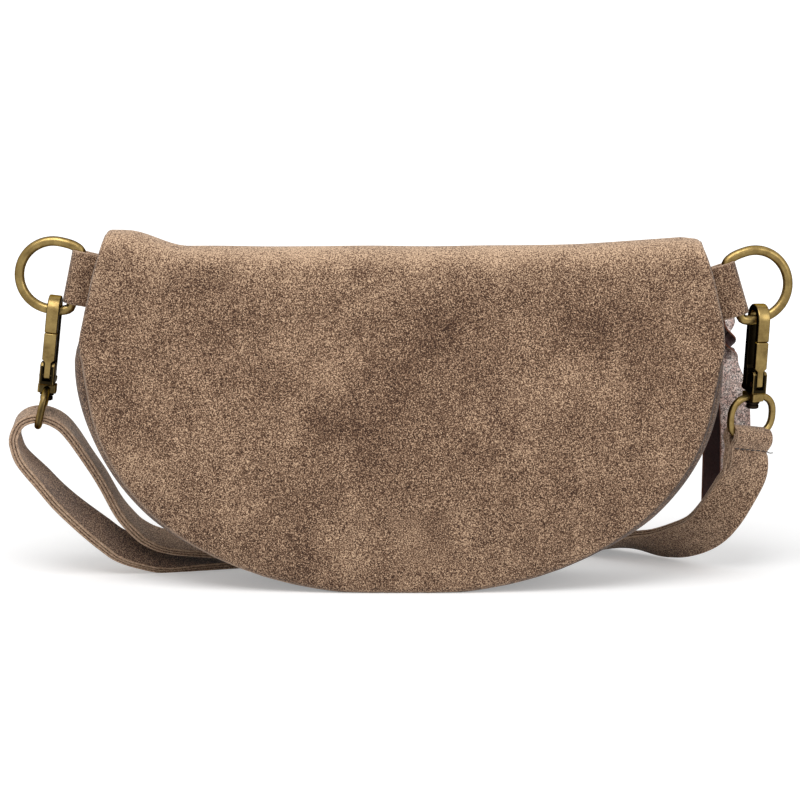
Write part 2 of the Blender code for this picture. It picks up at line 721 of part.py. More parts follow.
def ribbon(name, points, across_of, width_of, thickness, look, origin=None):
    """A strip along the points. across_of gives the direction of its width at a share of its length,
    and width_of its width there."""
    rows = []
    last = len(points) - 1
    for index, point in enumerate(points):
        share = index / last
        tangent = (points[min(last, index + 1)] - points[max(0, index - 1)]).normalized()
        across = Vector(across_of(share))
        across = (across - tangent * across.dot(tangent)).normalized()
        half = width_of(share) / 2
        rows.append([point - across * half, point + across * half])
    return sheet(name, rows, thickness, look, 0.0, origin)


def make_pull_strip():
    """The leather strip: up one side, through the puller's hole and down the other side."""
    place = puller_frame()
    along = place.to_3x3() @ Vector((1.0, 0.0, 0.0))
    across = place.to_3x3() @ Vector((0.0, 0.0, 1.0))
    hole = place @ Vector((PULLER_END, 0.0, 0.0))
    reach = PULLER_THICKNESS / 2 + GAP + PULL_THICKNESS / 2
    over = PULL_HOLE - GAP - PULL_THICKNESS / 2
    lift = PULL_HOLE + PULLER_WIDTH * 0.2 + GAP + PULL_THICKNESS
    neck = -PULL_NECK_LENGTH
    spread = PULL_SPREAD
    front = [hole + across * (reach + spread) + along * PULL_SHIFT * 0.5 - UP * PULL_FRONT_LENGTH,
             hole + across * (reach + spread * 0.9) + along * PULL_SHIFT * 0.35 + UP * neck * 2,
             hole + across * (reach + spread * 0.3) + UP * neck,
             hole + across * (reach + GAP) - UP * lift]
    bend = [hole + across * reach - UP * over * 0.6,
            hole - UP * (over - PULL_THICKNESS),
            hole - across * reach - UP * over * 0.6]
    back = [hole - across * (reach + GAP) - UP * lift,
            hole - across * (reach + spread * 0.1) + UP * neck,
            hole - across * (reach + spread * 0.2) - along * PULL_SHIFT * 0.6 + UP * neck * 2,
            hole - across * (reach + spread * 0.2) - along * PULL_SHIFT - UP * PULL_BACK_LENGTH]
    points = through(front + bend + back, 4)
    total = sum((second - first).length for first, second in zip(points, points[1:]))
    centre_share = (PULL_FRONT_LENGTH + reach) / total
    neck_share = PULL_NECK_LENGTH / total

    def width_at(share):
        away = abs(share - centre_share)
        return PULL_NECK_WIDTH + (PULL_TAIL_WIDTH - PULL_NECK_WIDTH) * smooth(
            neck_share * 0.6, neck_share * 1.7, away)

    return ribbon("pull_strip", points, lambda share: along, width_at, PULL_THICKNESS, PULL_LOOK, hole)


# Tabs and D-rings

def side_sign(side):
    return -1.0 if side == "left" else 1.0


def ring_frame(side):
    """Placing of a D-ring: x outwards from its bar, y along the bar, z across, origin on the bar."""
    sign = side_sign(side)
    lean = math.radians(RING_LEAN_DEG[side])
    bar = Vector((-sign * math.sin(lean), 0.0, math.cos(lean)))
    out = Vector((sign * math.cos(lean), 0.0, math.sin(lean)))
    centre_y = FAR_FACE_Y - TOP_THICKNESS * 0.58
    centre = Vector((RING_CENTRE_X[side], centre_y, RING_CENTRE_Z[side]))
    origin = centre - out * RING_CHORD
    turn = Matrix.Rotation(math.radians(RING_YAW_DEG[side]) * sign, 3, bar)
    out = turn @ out
    return frame(origin, out, bar, out.cross(bar))


def ring_half(x):
    """Half the D-ring's opening along the bar, x outwards from the middle of its round part."""
    if x >= 0:
        return math.sqrt(RING_RADIUS ** 2 - x ** 2)
    inner = 1 - (-x / RING_INNER_REACH) ** RING_INNER_POWER
    return RING_RADIUS * inner ** (1 / RING_INNER_POWER)


def ring_path():
    """The D-ring's line as (outwards, along the bar) points: half a circle, then a squarer half
    that ends in the straight bar."""
    half_bar = ring_half(-RING_CHORD)
    sides = [RING_CORNER + (RING_CHORD - RING_CORNER) * step / RING_SIDE_STEPS
             for step in range(RING_SIDE_STEPS)]
    points = [(x, -ring_half(x - RING_CHORD)) for x in sides]
    points += arc((RING_CHORD, 0.0), RING_RADIUS, -90, 90, RING_ROUND_STEPS)
    points += [(x, ring_half(x - RING_CHORD)) for x in reversed(sides)]
    points += [(RING_CORNER / 4, half_bar), (0.0, half_bar - RING_CORNER)]
    points += [(0.0, RING_CORNER - half_bar), (RING_CORNER / 4, -half_bar)]
    return points


def make_d_ring(side):
    points = [Vector((x, y, 0.0)) for x, y in ring_path()]
    obj = add_object("d_ring_" + side, wire_mesh(points, WIRE, True), BRASS_LOOK, ring_frame(side))
    shade(obj)
    return obj


def make_tab(side):
    """A suede strip round the D-ring's bar, its two ends flat on the gusset."""
    sign = side_sign(side)
    place = ring_frame(side)
    bar = place.to_3x3() @ Vector((0.0, 1.0, 0.0))
    lean = math.radians(RING_LEAN_DEG[side])
    out = Vector((sign * math.cos(lean), 0.0, math.sin(lean)))
    across = Vector((0.0, 1.0, 0.0))
    centre = place.translation
    skin = gusset_surface_x(side, centre.z)
    base = -(abs(centre.x) - skin) / math.cos(lean) + (SUEDE / 2 + GAP)
    wrap = WIRE + GAP + SUEDE / 2
    slope = math.tan(lean - side_slope(centre.z))
    path = [(base, -TAB_FLAP), (base, -TAB_FLAP * 0.5), (base + SUEDE / 2, -wrap * 0.75)]
    path += [(x, y) for x, y in arc((0.0, 0.0), wrap, -125, 125, 12)]
    path += [(base + SUEDE / 2, wrap * 0.75), (base, TAB_FLAP * 0.5), (base, TAB_FLAP)]
    rows = []
    half = TAB_WIDTH / 2
    for v, n in path:
        row = []
        for along in (-half, 0.0, half):
            shift = slope * along * min(1.0, max(0.0, v / base))
            row.append(centre + out * (v + shift) + across * n + bar * along)
        rows.append(row)
    return sheet("tab_" + side, rows, SUEDE, SUEDE_LOOK, offset=0.0)


def gusset_surface_x(side, height):
    return seam_half_width(height) + GUSSET_BULGE


def side_slope(height):
    """Angle from upright of the bag's side at a height, positive where it leans in."""
    step = SUEDE
    change = seam_half_width(height - step) - seam_half_width(height + step)
    return math.atan2(change, 2 * step)


# Clasps

def hang_point(side):
    """Middle of the D-ring's wire where its clasp hangs."""
    out = HANG_OUT[side]
    return ring_frame(side) @ Vector((RING_CHORD + out, -ring_half(out), 0.0))


def clasp_frame(side):
    """Placing of a clasp: x towards its gate, y its thickness, z up along it."""
    up = Vector((-CLASP_SLOPE_X[side], -CLASP_SLOPE_Y[side], 1.0)).normalized()
    yaw = math.radians(CLASP_YAW_DEG[side])
    gate = Vector((math.sin(yaw), -math.cos(yaw), 0.0))
    gate = (gate - up * gate.dot(up)).normalized()
    return frame(hang_point(side), gate, up.cross(gate), up)


HOOK_OUTER_HALF = HOOK_INNER_HALF + HOOK_BAR
HOOK_ARC_Z = WIRE + HOOK_SEAT_GAP - HOOK_INNER_HALF
GATE_PIVOT = Vector((HOOK_OUTER_HALF - GATE_PIVOT_IN, 0.0, -GATE_PIVOT_DROP))
BASE_RIGHT = HOOK_OUTER_HALF - GATE_PIVOT_IN + GATE_PIVOT_IN * 0.9
COLLAR_TOP = -(BASE_BOTTOM_DROP + GAP)
COLLAR_BOTTOM = COLLAR_TOP - COLLAR_HEIGHT
EYE_BAR_Z = COLLAR_TOP - COLLAR_HEIGHT / 2 - EYE_HEIGHT


def make_hook(side):
    """Spine, bent top and nose, with a forked base for the gate."""
    place = clasp_frame(side)
    outer = arc((0.0, HOOK_ARC_Z), HOOK_OUTER_HALF, 180, 0, 14, HOOK_OUTER_HALF)
    nose = [(HOOK_OUTER_HALF, -HOOK_NOSE_DROP), (HOOK_INNER_HALF, -HOOK_NOSE_DROP)]
    inner = arc((0.0, HOOK_ARC_Z), HOOK_INNER_HALF, 0, 180, 10, HOOK_INNER_HALF)
    chamfer = HOOK_BAR * 0.4
    base = [(-HOOK_INNER_HALF, -BASE_TOP_DROP), (HOOK_INNER_HALF * 0.4, -BASE_TOP_DROP - chamfer),
            (BASE_RIGHT - chamfer, -BASE_TOP_DROP - chamfer), (BASE_RIGHT, -BASE_TOP_DROP - 2 * chamfer),
            (BASE_RIGHT, -BASE_BOTTOM_DROP + chamfer), (BASE_RIGHT - chamfer, -BASE_BOTTOM_DROP),
            (-HOOK_OUTER_HALF + chamfer, -BASE_BOTTOM_DROP), (-HOOK_OUTER_HALF, -BASE_BOTTOM_DROP + chamfer)]
    mesh = plate_mesh([outer + nose + inner + base], HOOK_THICKNESS)
    hook = add_object("clasp_hook_" + side, mesh, BRASS_LOOK, place @ FACING)
    slot_half = GATE_THICKNESS / 2 + GAP
    slot_left = GATE_PIVOT.x - GATE_PIVOT_IN - GAP
    slot_bottom = GATE_PIVOT.z - GATE_PIVOT_IN - GAP
    boolean(hook, cutter("fork_slot_" + side, box_mesh(
        (slot_left, -slot_half, slot_bottom),
        (BASE_RIGHT + OVERRUN, slot_half, -BASE_TOP_DROP + OVERRUN)), place), "DIFFERENCE")
    pin_hole = Matrix.Translation(GATE_PIVOT) @ FACING
    boolean(hook, cutter("pin_hole_" + side, cylinder_mesh(
        PIN_RADIUS + PIN_GAP, -HOOK_THICKNESS, HOOK_THICKNESS), place @ pin_hole), "DIFFERENCE")
    boolean(hook, cutter("rivet_hole_" + side, cylinder_mesh(
        RIVET_RADIUS + PIN_GAP, -BASE_BOTTOM_DROP - OVERRUN, -BASE_BOTTOM_DROP + RIVET_SEAT + GAP),
        place), "DIFFERENCE")
    boolean(hook, cutter("spring_hole_" + side, cylinder_mesh(
        SPRING_RADIUS + GAP, 0.0, SPRING_LENGTH + GAP + OVERRUN, 12), place @ spring_place(GAP)), "DIFFERENCE")
    return hook


def spring_place(extra=0.0):
    """Placing of the gate's spring: its z points from the spine side towards the gate."""
    start = Vector((GATE_PIVOT.x - GATE_PIVOT_IN - GAP - SPRING_LENGTH - extra, 0.0,
                    GATE_PIVOT.z + SPRING_ABOVE_PIVOT - SPRING_RADIUS))
    return Matrix.Translation(start) @ Matrix.Rotation(math.radians(90), 4, "Y")


def make_gate(side):
    """The sprung bar that closes the hook, turning on its pin."""
    place = clasp_frame(side) @ Matrix.Translation(GATE_PIVOT)
    right = HOOK_OUTER_HALF - GATE_PIVOT.x
    left = right - HOOK_BAR * 0.95
    top = GATE_PIVOT_DROP - HOOK_NOSE_DROP - GAP
    heel = GATE_PIVOT_IN - GAP / 2
    outline = [(right, top), (left, top)]
    outline += [(left, GATE_PIVOT_DROP - BASE_TOP_DROP), (-heel, heel)]
    outline += arc((0.0, 0.0), heel, 180, 360, 8)
    outline += [(heel, heel), (right, GATE_PIVOT_DROP - BASE_TOP_DROP)]
    hole = arc((0.0, 0.0), PIN_RADIUS + PIN_GAP, 0, 330, 11)
    mesh = plate_mesh([outline, hole], GATE_THICKNESS)
    return add_object("clasp_gate_" + side, mesh, BRASS_LOOK, place @ FACING)


def make_clasp_small_parts(side):
    place = clasp_frame(side)
    pin = add_object("gate_pin_" + side, cylinder_mesh(PIN_RADIUS, -HOOK_THICKNESS / 2, HOOK_THICKNESS / 2),
                     STEEL_LOOK, place @ Matrix.Translation(GATE_PIVOT) @ FACING)
    shade(pin)
    spring = add_object("gate_spring_" + side, cylinder_mesh(SPRING_RADIUS, 0.0, SPRING_LENGTH, 12),
                        STEEL_LOOK, place @ spring_place())
    shade(spring)
    head_top = COLLAR_BOTTOM - GAP
    rivet = turned("swivel_rivet_" + side, [
        (0.0, -BASE_BOTTOM_DROP + RIVET_SEAT), (RIVET_RADIUS, -BASE_BOTTOM_DROP + RIVET_SEAT),
        (RIVET_RADIUS, head_top), (RIVET_HEAD_RADIUS, head_top),
        (RIVET_HEAD_RADIUS, head_top - RIVET_HEAD_HEIGHT), (0.0, head_top - RIVET_HEAD_HEIGHT)],
        BRASS_LOOK, place)
    shade(rivet)


def swivel_frame(side):
    """Placing of the swivel eye: x along its bar, z up, turned on the clasp's long axis."""
    turn = Matrix.Rotation(math.radians(EYE_TURN_DEG[side]), 4, "Z")
    return clasp_frame(side) @ turn


def make_swivel(side):
    """A collar on the rivet with an oval eye for the strap."""
    place = swivel_frame(side)
    collar = turned("swivel_eye_" + side, [
        (COLLAR_RADIUS, COLLAR_TOP), (COLLAR_RADIUS, COLLAR_BOTTOM),
        (RIVET_RADIUS + PIN_GAP, COLLAR_BOTTOM), (RIVET_RADIUS + PIN_GAP, COLLAR_TOP)],
        BRASS_LOOK, place, closed=True)
    middle = (COLLAR_TOP + COLLAR_BOTTOM) / 2
    start = COLLAR_RADIUS - EYE_WIRE * 0.35
    half = [(start, middle)]
    shoulder_z = middle - EYE_SHOULDER
    half += arc((0.0, shoulder_z), EYE_HALF_WIDTH, 68, 0, 7, EYE_SHOULDER)
    half += [(EYE_HALF_WIDTH, EYE_BAR_Z + EYE_CORNER)]
    half += arc((EYE_HALF_WIDTH - EYE_CORNER, EYE_BAR_Z + EYE_CORNER), EYE_CORNER, -30, -90, 2)
    other = [(-x, z) for x, z in reversed(half)]
    points = [Vector((x, 0.0, z)) for x, z in half + other]
    loop = cutter("eye_loop_" + side, wire_mesh(points, EYE_WIRE, False), place)
    boolean(collar, loop, "UNION")
    shade(collar)
    return collar


# Strap

def bar_point(side):
    return swivel_frame(side) @ Vector((0.0, 0.0, EYE_BAR_Z))


def bar_direction(side):
    return swivel_frame(side).to_3x3() @ Vector((1.0, 0.0, 0.0))


def left_plane(x, z):
    """A point in the upright plane that the left loop lies in, x counted from the eye's bar."""
    bar = bar_point("left")
    return Vector((bar.x + x, bar.y + x * LEFT_PLANE_SLOPE, z))


LEFT_ACROSS = Vector((-LEFT_PLANE_SLOPE, 1.0, 0.0)).normalized()
BUCKLE_X = bar_point("left").x + LEFT_LOOP_REACH * FLOOR_START_SHARE + BUCKLE_ALONG

# Outer run, from the top of the turn outwards and down to the floor: shares of the loop's reach
# from the bar, and of the bar's height (up to 1) and the arch's rise over it (up to 2)
OUTER_RUN_SHARES = ((-0.01, 2.0), (-0.13, 1.64), (-0.20, 0.96), (-0.195, 0.84), (-0.13, 0.72),
                    (0.0, 0.58), (0.16, 0.42), (0.34, 0.26), (0.54, 0.12), (0.78, 0.035))
INNER_RUN_SHARES = ((0.10, 1.6), (0.20, 0.98), (0.30, 0.84), (0.385, 0.69), (0.455, 0.55),
                    (0.55, 0.41), (0.66, 0.29), (0.80, 0.185), (0.98, 0.125))

# Running strap over the buckle's middle bar: shares of the buckle's half length from the bar, and
# of the drop from the bar's top to the upper layer (up to 1) and on to the floor (up to 2)
HUMP_SHARES = ((-1.6, 1), (-1.15, 1), (-0.92, 1), (-0.6, 0.74), (-0.3, 0.0), (0.0, -0.06),
               (0.3, 0.0), (0.6, 0.74), (0.92, 1), (1.15, 1.0), (1.7, 1.75), (2.3, 2.0))

# Right run, from the fold down to the floor: shares of the way out to the eye's bar, of the way
# back from it, and of the fold's height
RIGHT_RUN_SHARES = ((1.0, 0.10, 0.78), (0.955, 0.28, 0.50), (0.86, 0.52, 0.27), (0.70, 0.78, 0.13),
                    (0.50, 0.94, 0.055), (0.25, 1.0, 0.015))


def strap_level(layer):
    """Height of the middle of a strap layer that lies on the floor."""
    return STRAP_THICKNESS / 2 + layer * (STRAP_THICKNESS + GAP)


def loop_points(shares):
    """Points of the left loop's outer or inner run."""
    bar_z = bar_point("left").z
    points = []
    for x_share, z_share in shares:
        height = bar_z * min(1.0, z_share) + ARCH_RISE * max(0.0, z_share - 1)
        points.append(left_plane(x_share * LEFT_LOOP_REACH, height))
    return points


def floor_point(x, layer):
    """A point of the strap behind the bag: straight on from the left, then bending level."""
    bar = bar_point("left")
    straight = bar.y + (x - bar.x) * LEFT_PLANE_SLOPE
    if x > STRAP_STRAIGHT_X:
        at_bend = bar.y + (STRAP_STRAIGHT_X - bar.x) * LEFT_PLANE_SLOPE
        over = x - STRAP_STRAIGHT_X
        straight = at_bend + LEFT_PLANE_SLOPE * over * max(0.0, 1 - over / RIGHT_REACH / 2)
    return Vector((x, straight, strap_level(layer)))


def floor_across(x):
    step = STRAP_STEP
    along = floor_point(x + step, 0) - floor_point(x - step, 0)
    return UP.cross(along).normalized()


def left_turn_line():
    """The whole left loop in order: outer run reversed, turn, inner run."""
    outer = loop_points(OUTER_RUN_SHARES)
    inner = loop_points(INNER_RUN_SHARES)
    floor_start = bar_point("left").x + LEFT_LOOP_REACH * FLOOR_START_SHARE
    low = [floor_point(floor_start + STRAP_WIDTH * share, 0) for share in (2.0, 1.0, 0.0)]
    high = [floor_point(floor_start + STRAP_WIDTH * share, 1) for share in (0.6, 1.4, 2.0)]
    return spaced(through(low + list(reversed(outer)) + inner + high, 8), STRAP_STEP / 2)


def split_line(points, marks, gap):
    """Cuts a line of points at marks, given as lengths along it, leaving a gap at each."""
    lengths = [0.0]
    for first, second in zip(points, points[1:]):
        lengths.append(lengths[-1] + (second - first).length)
    bounds = [(-gap, 0.0)] + [(mark - gap / 2, mark + gap / 2) for mark in marks]
    bounds.append((lengths[-1], lengths[-1] + gap))
    pieces = []
    for (_, start), (end, _) in zip(bounds, bounds[1:]):
        piece = [point_at(points, lengths, start)]
        piece += [point for point, length in zip(points, lengths)
                  if start + gap < length < end - gap]
        piece.append(point_at(points, lengths, end))
        pieces.append(piece)
    return pieces


def point_at(points, lengths, want):
    for index in range(len(points) - 1):
        if lengths[index + 1] >= want:
            span = lengths[index + 1] - lengths[index]
            return points[index].lerp(points[index + 1], (want - lengths[index]) / span)
    return points[-1].copy()


def nearest_length(points, target):
    """Length along the line at its nearest point to the target."""
    best = 0.0
    least = None
    length = 0.0
    for index, point in enumerate(points):
        if index:
            length += (point - points[index - 1]).length
        distance = (point - target).length
        if least is None or distance < least:
            least = distance
            best = length
    return best


def buckle_frame_z():
    return strap_level(1) + STRAP_THICKNESS / 2 + GAP + BUCKLE_WIRE


def make_left_strap():
    """Fixed run along the floor, its climb, the turn over the eye's bar and the running climb."""
    line = left_turn_line()
    top = nearest_length(line, loop_points(OUTER_RUN_SHARES)[0])
    pieces = split_line(line, [top - TURN_TAIL * 1.6, top + TURN_TAIL * 1.3], GAP)
    names = ("strap_outer_run_left", "strap_turn_left", "strap_inner_run_left")
    bar = -bar_direction("left")
    directions = (lambda share: LEFT_ACROSS.lerp(bar, smooth(0.3, 0.95, share)),
                  lambda share: bar,
                  lambda share: bar.lerp(LEFT_ACROSS, smooth(0.05, 0.7, share)))
    origins = (None, bar_point("left"), None)
    for name, piece, across, origin in zip(names, pieces, directions, origins):
        ribbon(name, piece, across, lambda share: STRAP_WIDTH, STRAP_THICKNESS, SUEDE_LOOK, origin)
    return line[0].x, line[-1].x


def make_floor_strap(left_low_x, left_high_x):
    """The two layers behind the bag, up to the buckle and past it."""
    bar_z = buckle_frame_z()
    end_x = BUCKLE_X - BUCKLE_HALF_LENGTH * 0.6
    fixed = spaced([floor_point(left_low_x + GAP, 0), floor_point(end_x, 0)], STRAP_STEP * 2)
    ribbon("strap_fixed_floor", fixed, lambda share: LEFT_ACROSS, lambda share: STRAP_WIDTH,
           STRAP_THICKNESS, SUEDE_LOOK)
    wrap = BUCKLE_WIRE + GAP + STRAP_SKIVED / 2
    over = bar_z + wrap + STRAP_SKIVED / 2 + GAP + STRAP_THICKNESS / 2
    points = [floor_point(left_high_x + GAP, 1)]
    low_level = strap_level(1)
    for x_share, drop_share in HUMP_SHARES:
        spot = floor_point(BUCKLE_X + x_share * BUCKLE_HALF_LENGTH, 1)
        if drop_share <= 1:
            spot.z = over + (low_level - over) * drop_share
        else:
            spot.z = low_level + (strap_level(0) - low_level) * (drop_share - 1)
        points.append(spot)
    for back in (STRAP_WIDTH, STRAP_STEP * 2, STRAP_STEP, 0.0):
        points.append(floor_point(FLOOR_JOINT_X - back, 0))
    line = spaced(through(points, 8), STRAP_STEP * 0.5)
    total = line[-1].x - line[0].x

    def across(share):
        return floor_across(line[0].x + total * share)

    ribbon("strap_running_floor", line, across, lambda share: STRAP_WIDTH, STRAP_THICKNESS, SUEDE_LOOK)
    spot = floor_point(BUCKLE_X, 0)
    spot.z = bar_z
    forward = Vector((1.0, LEFT_PLANE_SLOPE, 0.0)).normalized()
    start = floor_point(end_x + GAP + STRAP_SKIVED, 0)
    path = [start, spot + forward * (-wrap * 1.7) - UP * wrap * 1.45]
    for angle_deg in range(-100, 141, 24):
        angle = math.radians(angle_deg)
        path.append(spot + (forward * math.cos(angle) + UP * math.sin(angle)) * wrap)
    ribbon("strap_sewn_end", spaced(through(path, 4), STRAP_STEP / 4), lambda share: LEFT_ACROSS,
           lambda share: STRAP_WIDTH, STRAP_SKIVED, SUEDE_LOOK, spot)


def buckle_matrix():
    spot = floor_point(BUCKLE_X, 0)
    spot.z = buckle_frame_z()
    forward = Vector((1.0, LEFT_PLANE_SLOPE, 0.0)).normalized()
    return frame(spot, forward, UP.cross(forward), UP)


def make_buckle():
    """A wire frame with a middle bar."""
    half_x = BUCKLE_HALF_LENGTH
    half_y = BUCKLE_HALF_WIDTH
    corner = BUCKLE_WIRE * 1.4
    path = []
    for x_sign, y_sign, start in ((1, 1, 0), (-1, 1, 90), (-1, -1, 180), (1, -1, 270)):
        path += arc((x_sign * (half_x - corner), y_sign * (half_y - corner)), corner, start, start + 90, 2)
    buckle = add_object("strap_buckle", wire_mesh([Vector((x, y, 0.0)) for x, y in path],
                                                  BUCKLE_WIRE, True), BRASS_LOOK, buckle_matrix())
    bar = wire_mesh([Vector((0.0, -half_y, 0.0)), Vector((0.0, half_y, 0.0))], BUCKLE_WIRE * 0.98, False)
    boolean(buckle, cutter("buckle_bar", bar, buckle_matrix()), "UNION")
    shade(buckle)
    return buckle


def make_right_strap():
    """The stitched fold round the right eye's bar and the run down to the floor."""
    bar = bar_point("right")
    across = bar_direction("right")
    facing = across.cross(UP).normalized()
    wrap = EYE_WIRE + GAP + STRAP_THICKNESS / 2
    path = [bar + facing * (STRAP_THICKNESS * 0.5 + GAP) - UP * FOLD_TAIL]
    for angle_deg in range(-30, 211, 24):
        angle = math.radians(angle_deg)
        path.append(bar + (facing * math.cos(angle) + UP * math.sin(angle)) * wrap)
    path.append(bar - facing * (STRAP_THICKNESS * 0.5 + GAP) - UP * (FOLD_TAIL - STRAP_THICKNESS))
    path.append(bar - facing * (STRAP_THICKNESS * 0.5 + GAP) - UP * FOLD_TAIL)
    ribbon("strap_fold_right", spaced(through(path, 5), STRAP_STEP / 3), lambda share: across,
           lambda share: STRAP_WIDTH, STRAP_THICKNESS, SUEDE_LOOK, bar)
    end = floor_point(FLOOR_JOINT_X + END_GAPS * GAP, 0)
    reach = bar.x - end.x
    depth = end.y - bar.y
    start = path[-1] - UP * GAP * END_GAPS
    route = [start, start - UP * STRAP_STEP]
    for x_share, y_share, z_share in RIGHT_RUN_SHARES:
        route.append(Vector((end.x + reach * x_share, bar.y + depth * y_share,
                             start.z * z_share + end.z * (1 - z_share))))
    route.append(floor_point(end.x + STRAP_STEP * 2, 0))
    route.append(floor_point(end.x + STRAP_STEP, 0))
    route.append(end)
    last_across = floor_across(FLOOR_JOINT_X)

    def width_direction(share):
        weight = smooth(0.0, 0.7, share)
        return across.lerp(last_across, weight)

    ribbon("strap_run_right", spaced(through(route, 8), STRAP_STEP * 0.8), width_direction,
           lambda share: STRAP_WIDTH, STRAP_THICKNESS, SUEDE_LOOK)


def build():
    make_main_panel()
    make_far_panel()
    make_gusset()
    make_lining()
    make_inner_pocket()
    make_zip()
    make_slider()
    make_puller()
    make_pull_strip()
    for side in ("left", "right"):
        make_tab(side)
        make_d_ring(side)
        make_hook(side)
        make_gate(side)
        make_clasp_small_parts(side)
        make_swivel(side)
    low_x, high_x = make_left_strap()
    make_floor_strap(low_x, high_x)
    make_buckle()
    make_right_strap()


build()
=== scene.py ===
"""Looks for the belt bag: suede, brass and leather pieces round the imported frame."""
import math

import bmesh
import bpy
from mathutils import Matrix, Vector, noise
from mathutils.kdtree import KDTree


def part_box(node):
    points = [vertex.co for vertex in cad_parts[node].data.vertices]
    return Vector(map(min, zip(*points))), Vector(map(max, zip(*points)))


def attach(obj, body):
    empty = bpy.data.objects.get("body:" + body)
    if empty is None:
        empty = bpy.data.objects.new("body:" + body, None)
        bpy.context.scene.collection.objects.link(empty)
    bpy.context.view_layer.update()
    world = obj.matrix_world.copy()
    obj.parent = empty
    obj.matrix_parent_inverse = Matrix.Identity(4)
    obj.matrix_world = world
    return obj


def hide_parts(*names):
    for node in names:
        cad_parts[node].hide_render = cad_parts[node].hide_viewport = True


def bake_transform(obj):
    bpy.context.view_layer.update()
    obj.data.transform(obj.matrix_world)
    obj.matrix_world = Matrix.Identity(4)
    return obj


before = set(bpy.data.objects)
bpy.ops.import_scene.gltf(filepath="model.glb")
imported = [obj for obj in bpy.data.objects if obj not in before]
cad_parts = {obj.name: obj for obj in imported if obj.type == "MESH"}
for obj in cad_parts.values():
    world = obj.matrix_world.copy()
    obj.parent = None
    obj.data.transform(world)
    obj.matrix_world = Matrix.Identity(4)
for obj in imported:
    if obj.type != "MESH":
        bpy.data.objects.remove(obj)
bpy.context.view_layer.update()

MM = 0.001
UP = Vector((0.0, 0.0, 1.0))
GAP = 0.3 * MM

# Bag: the part's own sizes
SEAM_HALF_WIDTH = 137.0 * MM
SEAM_CENTRE_HEIGHT = 100.0 * MM
OUTLINE_POWER = 2.15
BOTTOM_SAG = 1.5 * MM
TOP_HEIGHT = 147.5 * MM
CORNER_RISE = 5.0 * MM
RISE_START_HEIGHT = 118.0 * MM
LEAN_IN = 8.5 * MM
LEAN_IN_START = 104.0 * MM
GUSSET_BULGE = 3.5 * MM
BULGE_FULL_HEIGHT = 35.0 * MM
FAR_FACE_Y = 24.0 * MM
BASE_FRONT_Y = -24.0 * MM
TOP_THICKNESS = 28.0 * MM
PANEL_CROWN = 6.0 * MM
SUEDE = 1.8 * MM
ZIP_HEIGHT = 112.0 * MM
ZIP_SLOT = 9.0 * MM
ZIP_HALF_LENGTH = 122.0 * MM
TAPE_THICKNESS = 0.7 * MM
TAPE_LAP = 7.5 * MM
TEETH_Y = FAR_FACE_Y - SUEDE - GAP - TAPE_THICKNESS / 2
TAPE_EDGE = 2.38 * MM
FOLD_RADIUS = TOP_THICKNESS / 2
FOLD_HEIGHT = TOP_HEIGHT - FOLD_RADIUS
FOLD_Y = FAR_FACE_Y - FOLD_RADIUS

# Hardware: the part's places, with some sizes nearer to the photograph's
WIRE = 2.0 * MM
RING_WIRE = 2.15 * MM
RING_RADIUS = 15.0 * MM
RING_CHORD = 10.0 * MM
RING_INNER_REACH = 13.5 * MM
RING_INNER_POWER = 3.0
RING_CORNER = 1.1 * MM
TAB_WIDTH = 23.6 * MM
TAB_RAISE = 1.2 * MM
TAB_ROOT = 5.5 * MM
RING_CENTRE_X = {"left": -152.0 * MM, "right": 155.0 * MM}
RING_CENTRE_Z = {"left": 134.8 * MM, "right": 130.6 * MM}
RING_LEAN_DEG = {"left": 12.0, "right": 17.0}
RING_YAW_DEG = {"left": 0.0, "right": 10.0}
HANG_OUT = {"left": -3.2 * MM, "right": -2.5 * MM}
HOOK_THICKNESS = 5.5 * MM
HOOK_BAR = 3.2 * MM
HOOK_INNER_HALF = 4.0 * MM
HOOK_SEAT_GAP = 1.4 * MM
HOOK_NOSE_DROP = 9.2 * MM
BASE_BOTTOM_DROP = 32.8 * MM
GATE_THICKNESS = 2.8 * MM
GATE_PIVOT_DROP = 28.5 * MM
GATE_PIVOT_IN = 2.1 * MM
PIN_RADIUS = 0.8 * MM
COLLAR_HEIGHT = 3.8 * MM
EYE_WIRE = 1.6 * MM
CLASP_YAW_DEG = {"left": 0.0, "right": 14.0}
CLASP_LEAN_X = {"left": -0.115, "right": -0.045}
CLASP_LEAN_Y = {"left": 0.05, "right": 0.08}
EYE_TURN_DEG = {"left": 3.0, "right": 110.0}
FORK_TOP_DROP = 22.8 * MM
FORK_WIDTH = 6.6 * MM
FORK_SLOT = 3.8 * MM
FORK_FRONT = 7.1 * MM
FORK_BACK = 0.6 * MM
FORK_FOOT = 2.4 * MM
LOOP_HALF = 12.0 * MM
LOOP_TALL = {"left": 17.0 * MM, "right": 18.4 * MM}
LOOP_POWER = 2.5
LOOP_TILT_DEG = {"left": -8.0, "right": 0.0}

# Strap: the part's sizes; VISIBLE_WIDTH is the photograph's
STRAP_WIDTH = 25.0 * MM
VISIBLE_WIDTH = 20.5 * MM
STRAP_THICKNESS = 3.2 * MM
STRAP_SKIVED = 1.5 * MM
STRAP_STEP = 5.0 * MM
FOLD_TAIL = 12.0 * MM
LEFT_PLANE_SLOPE = 0.28
RIGHT_REACH = 80.0 * MM
FLOOR_JOINT_X = 62.0 * MM
BUCKLE_X = -20.0 * MM
BUCKLE_HALF_LENGTH = 15.5 * MM
BUCKLE_HALF_WIDTH = 14.6 * MM
BUCKLE_WIRE = 1.5 * MM

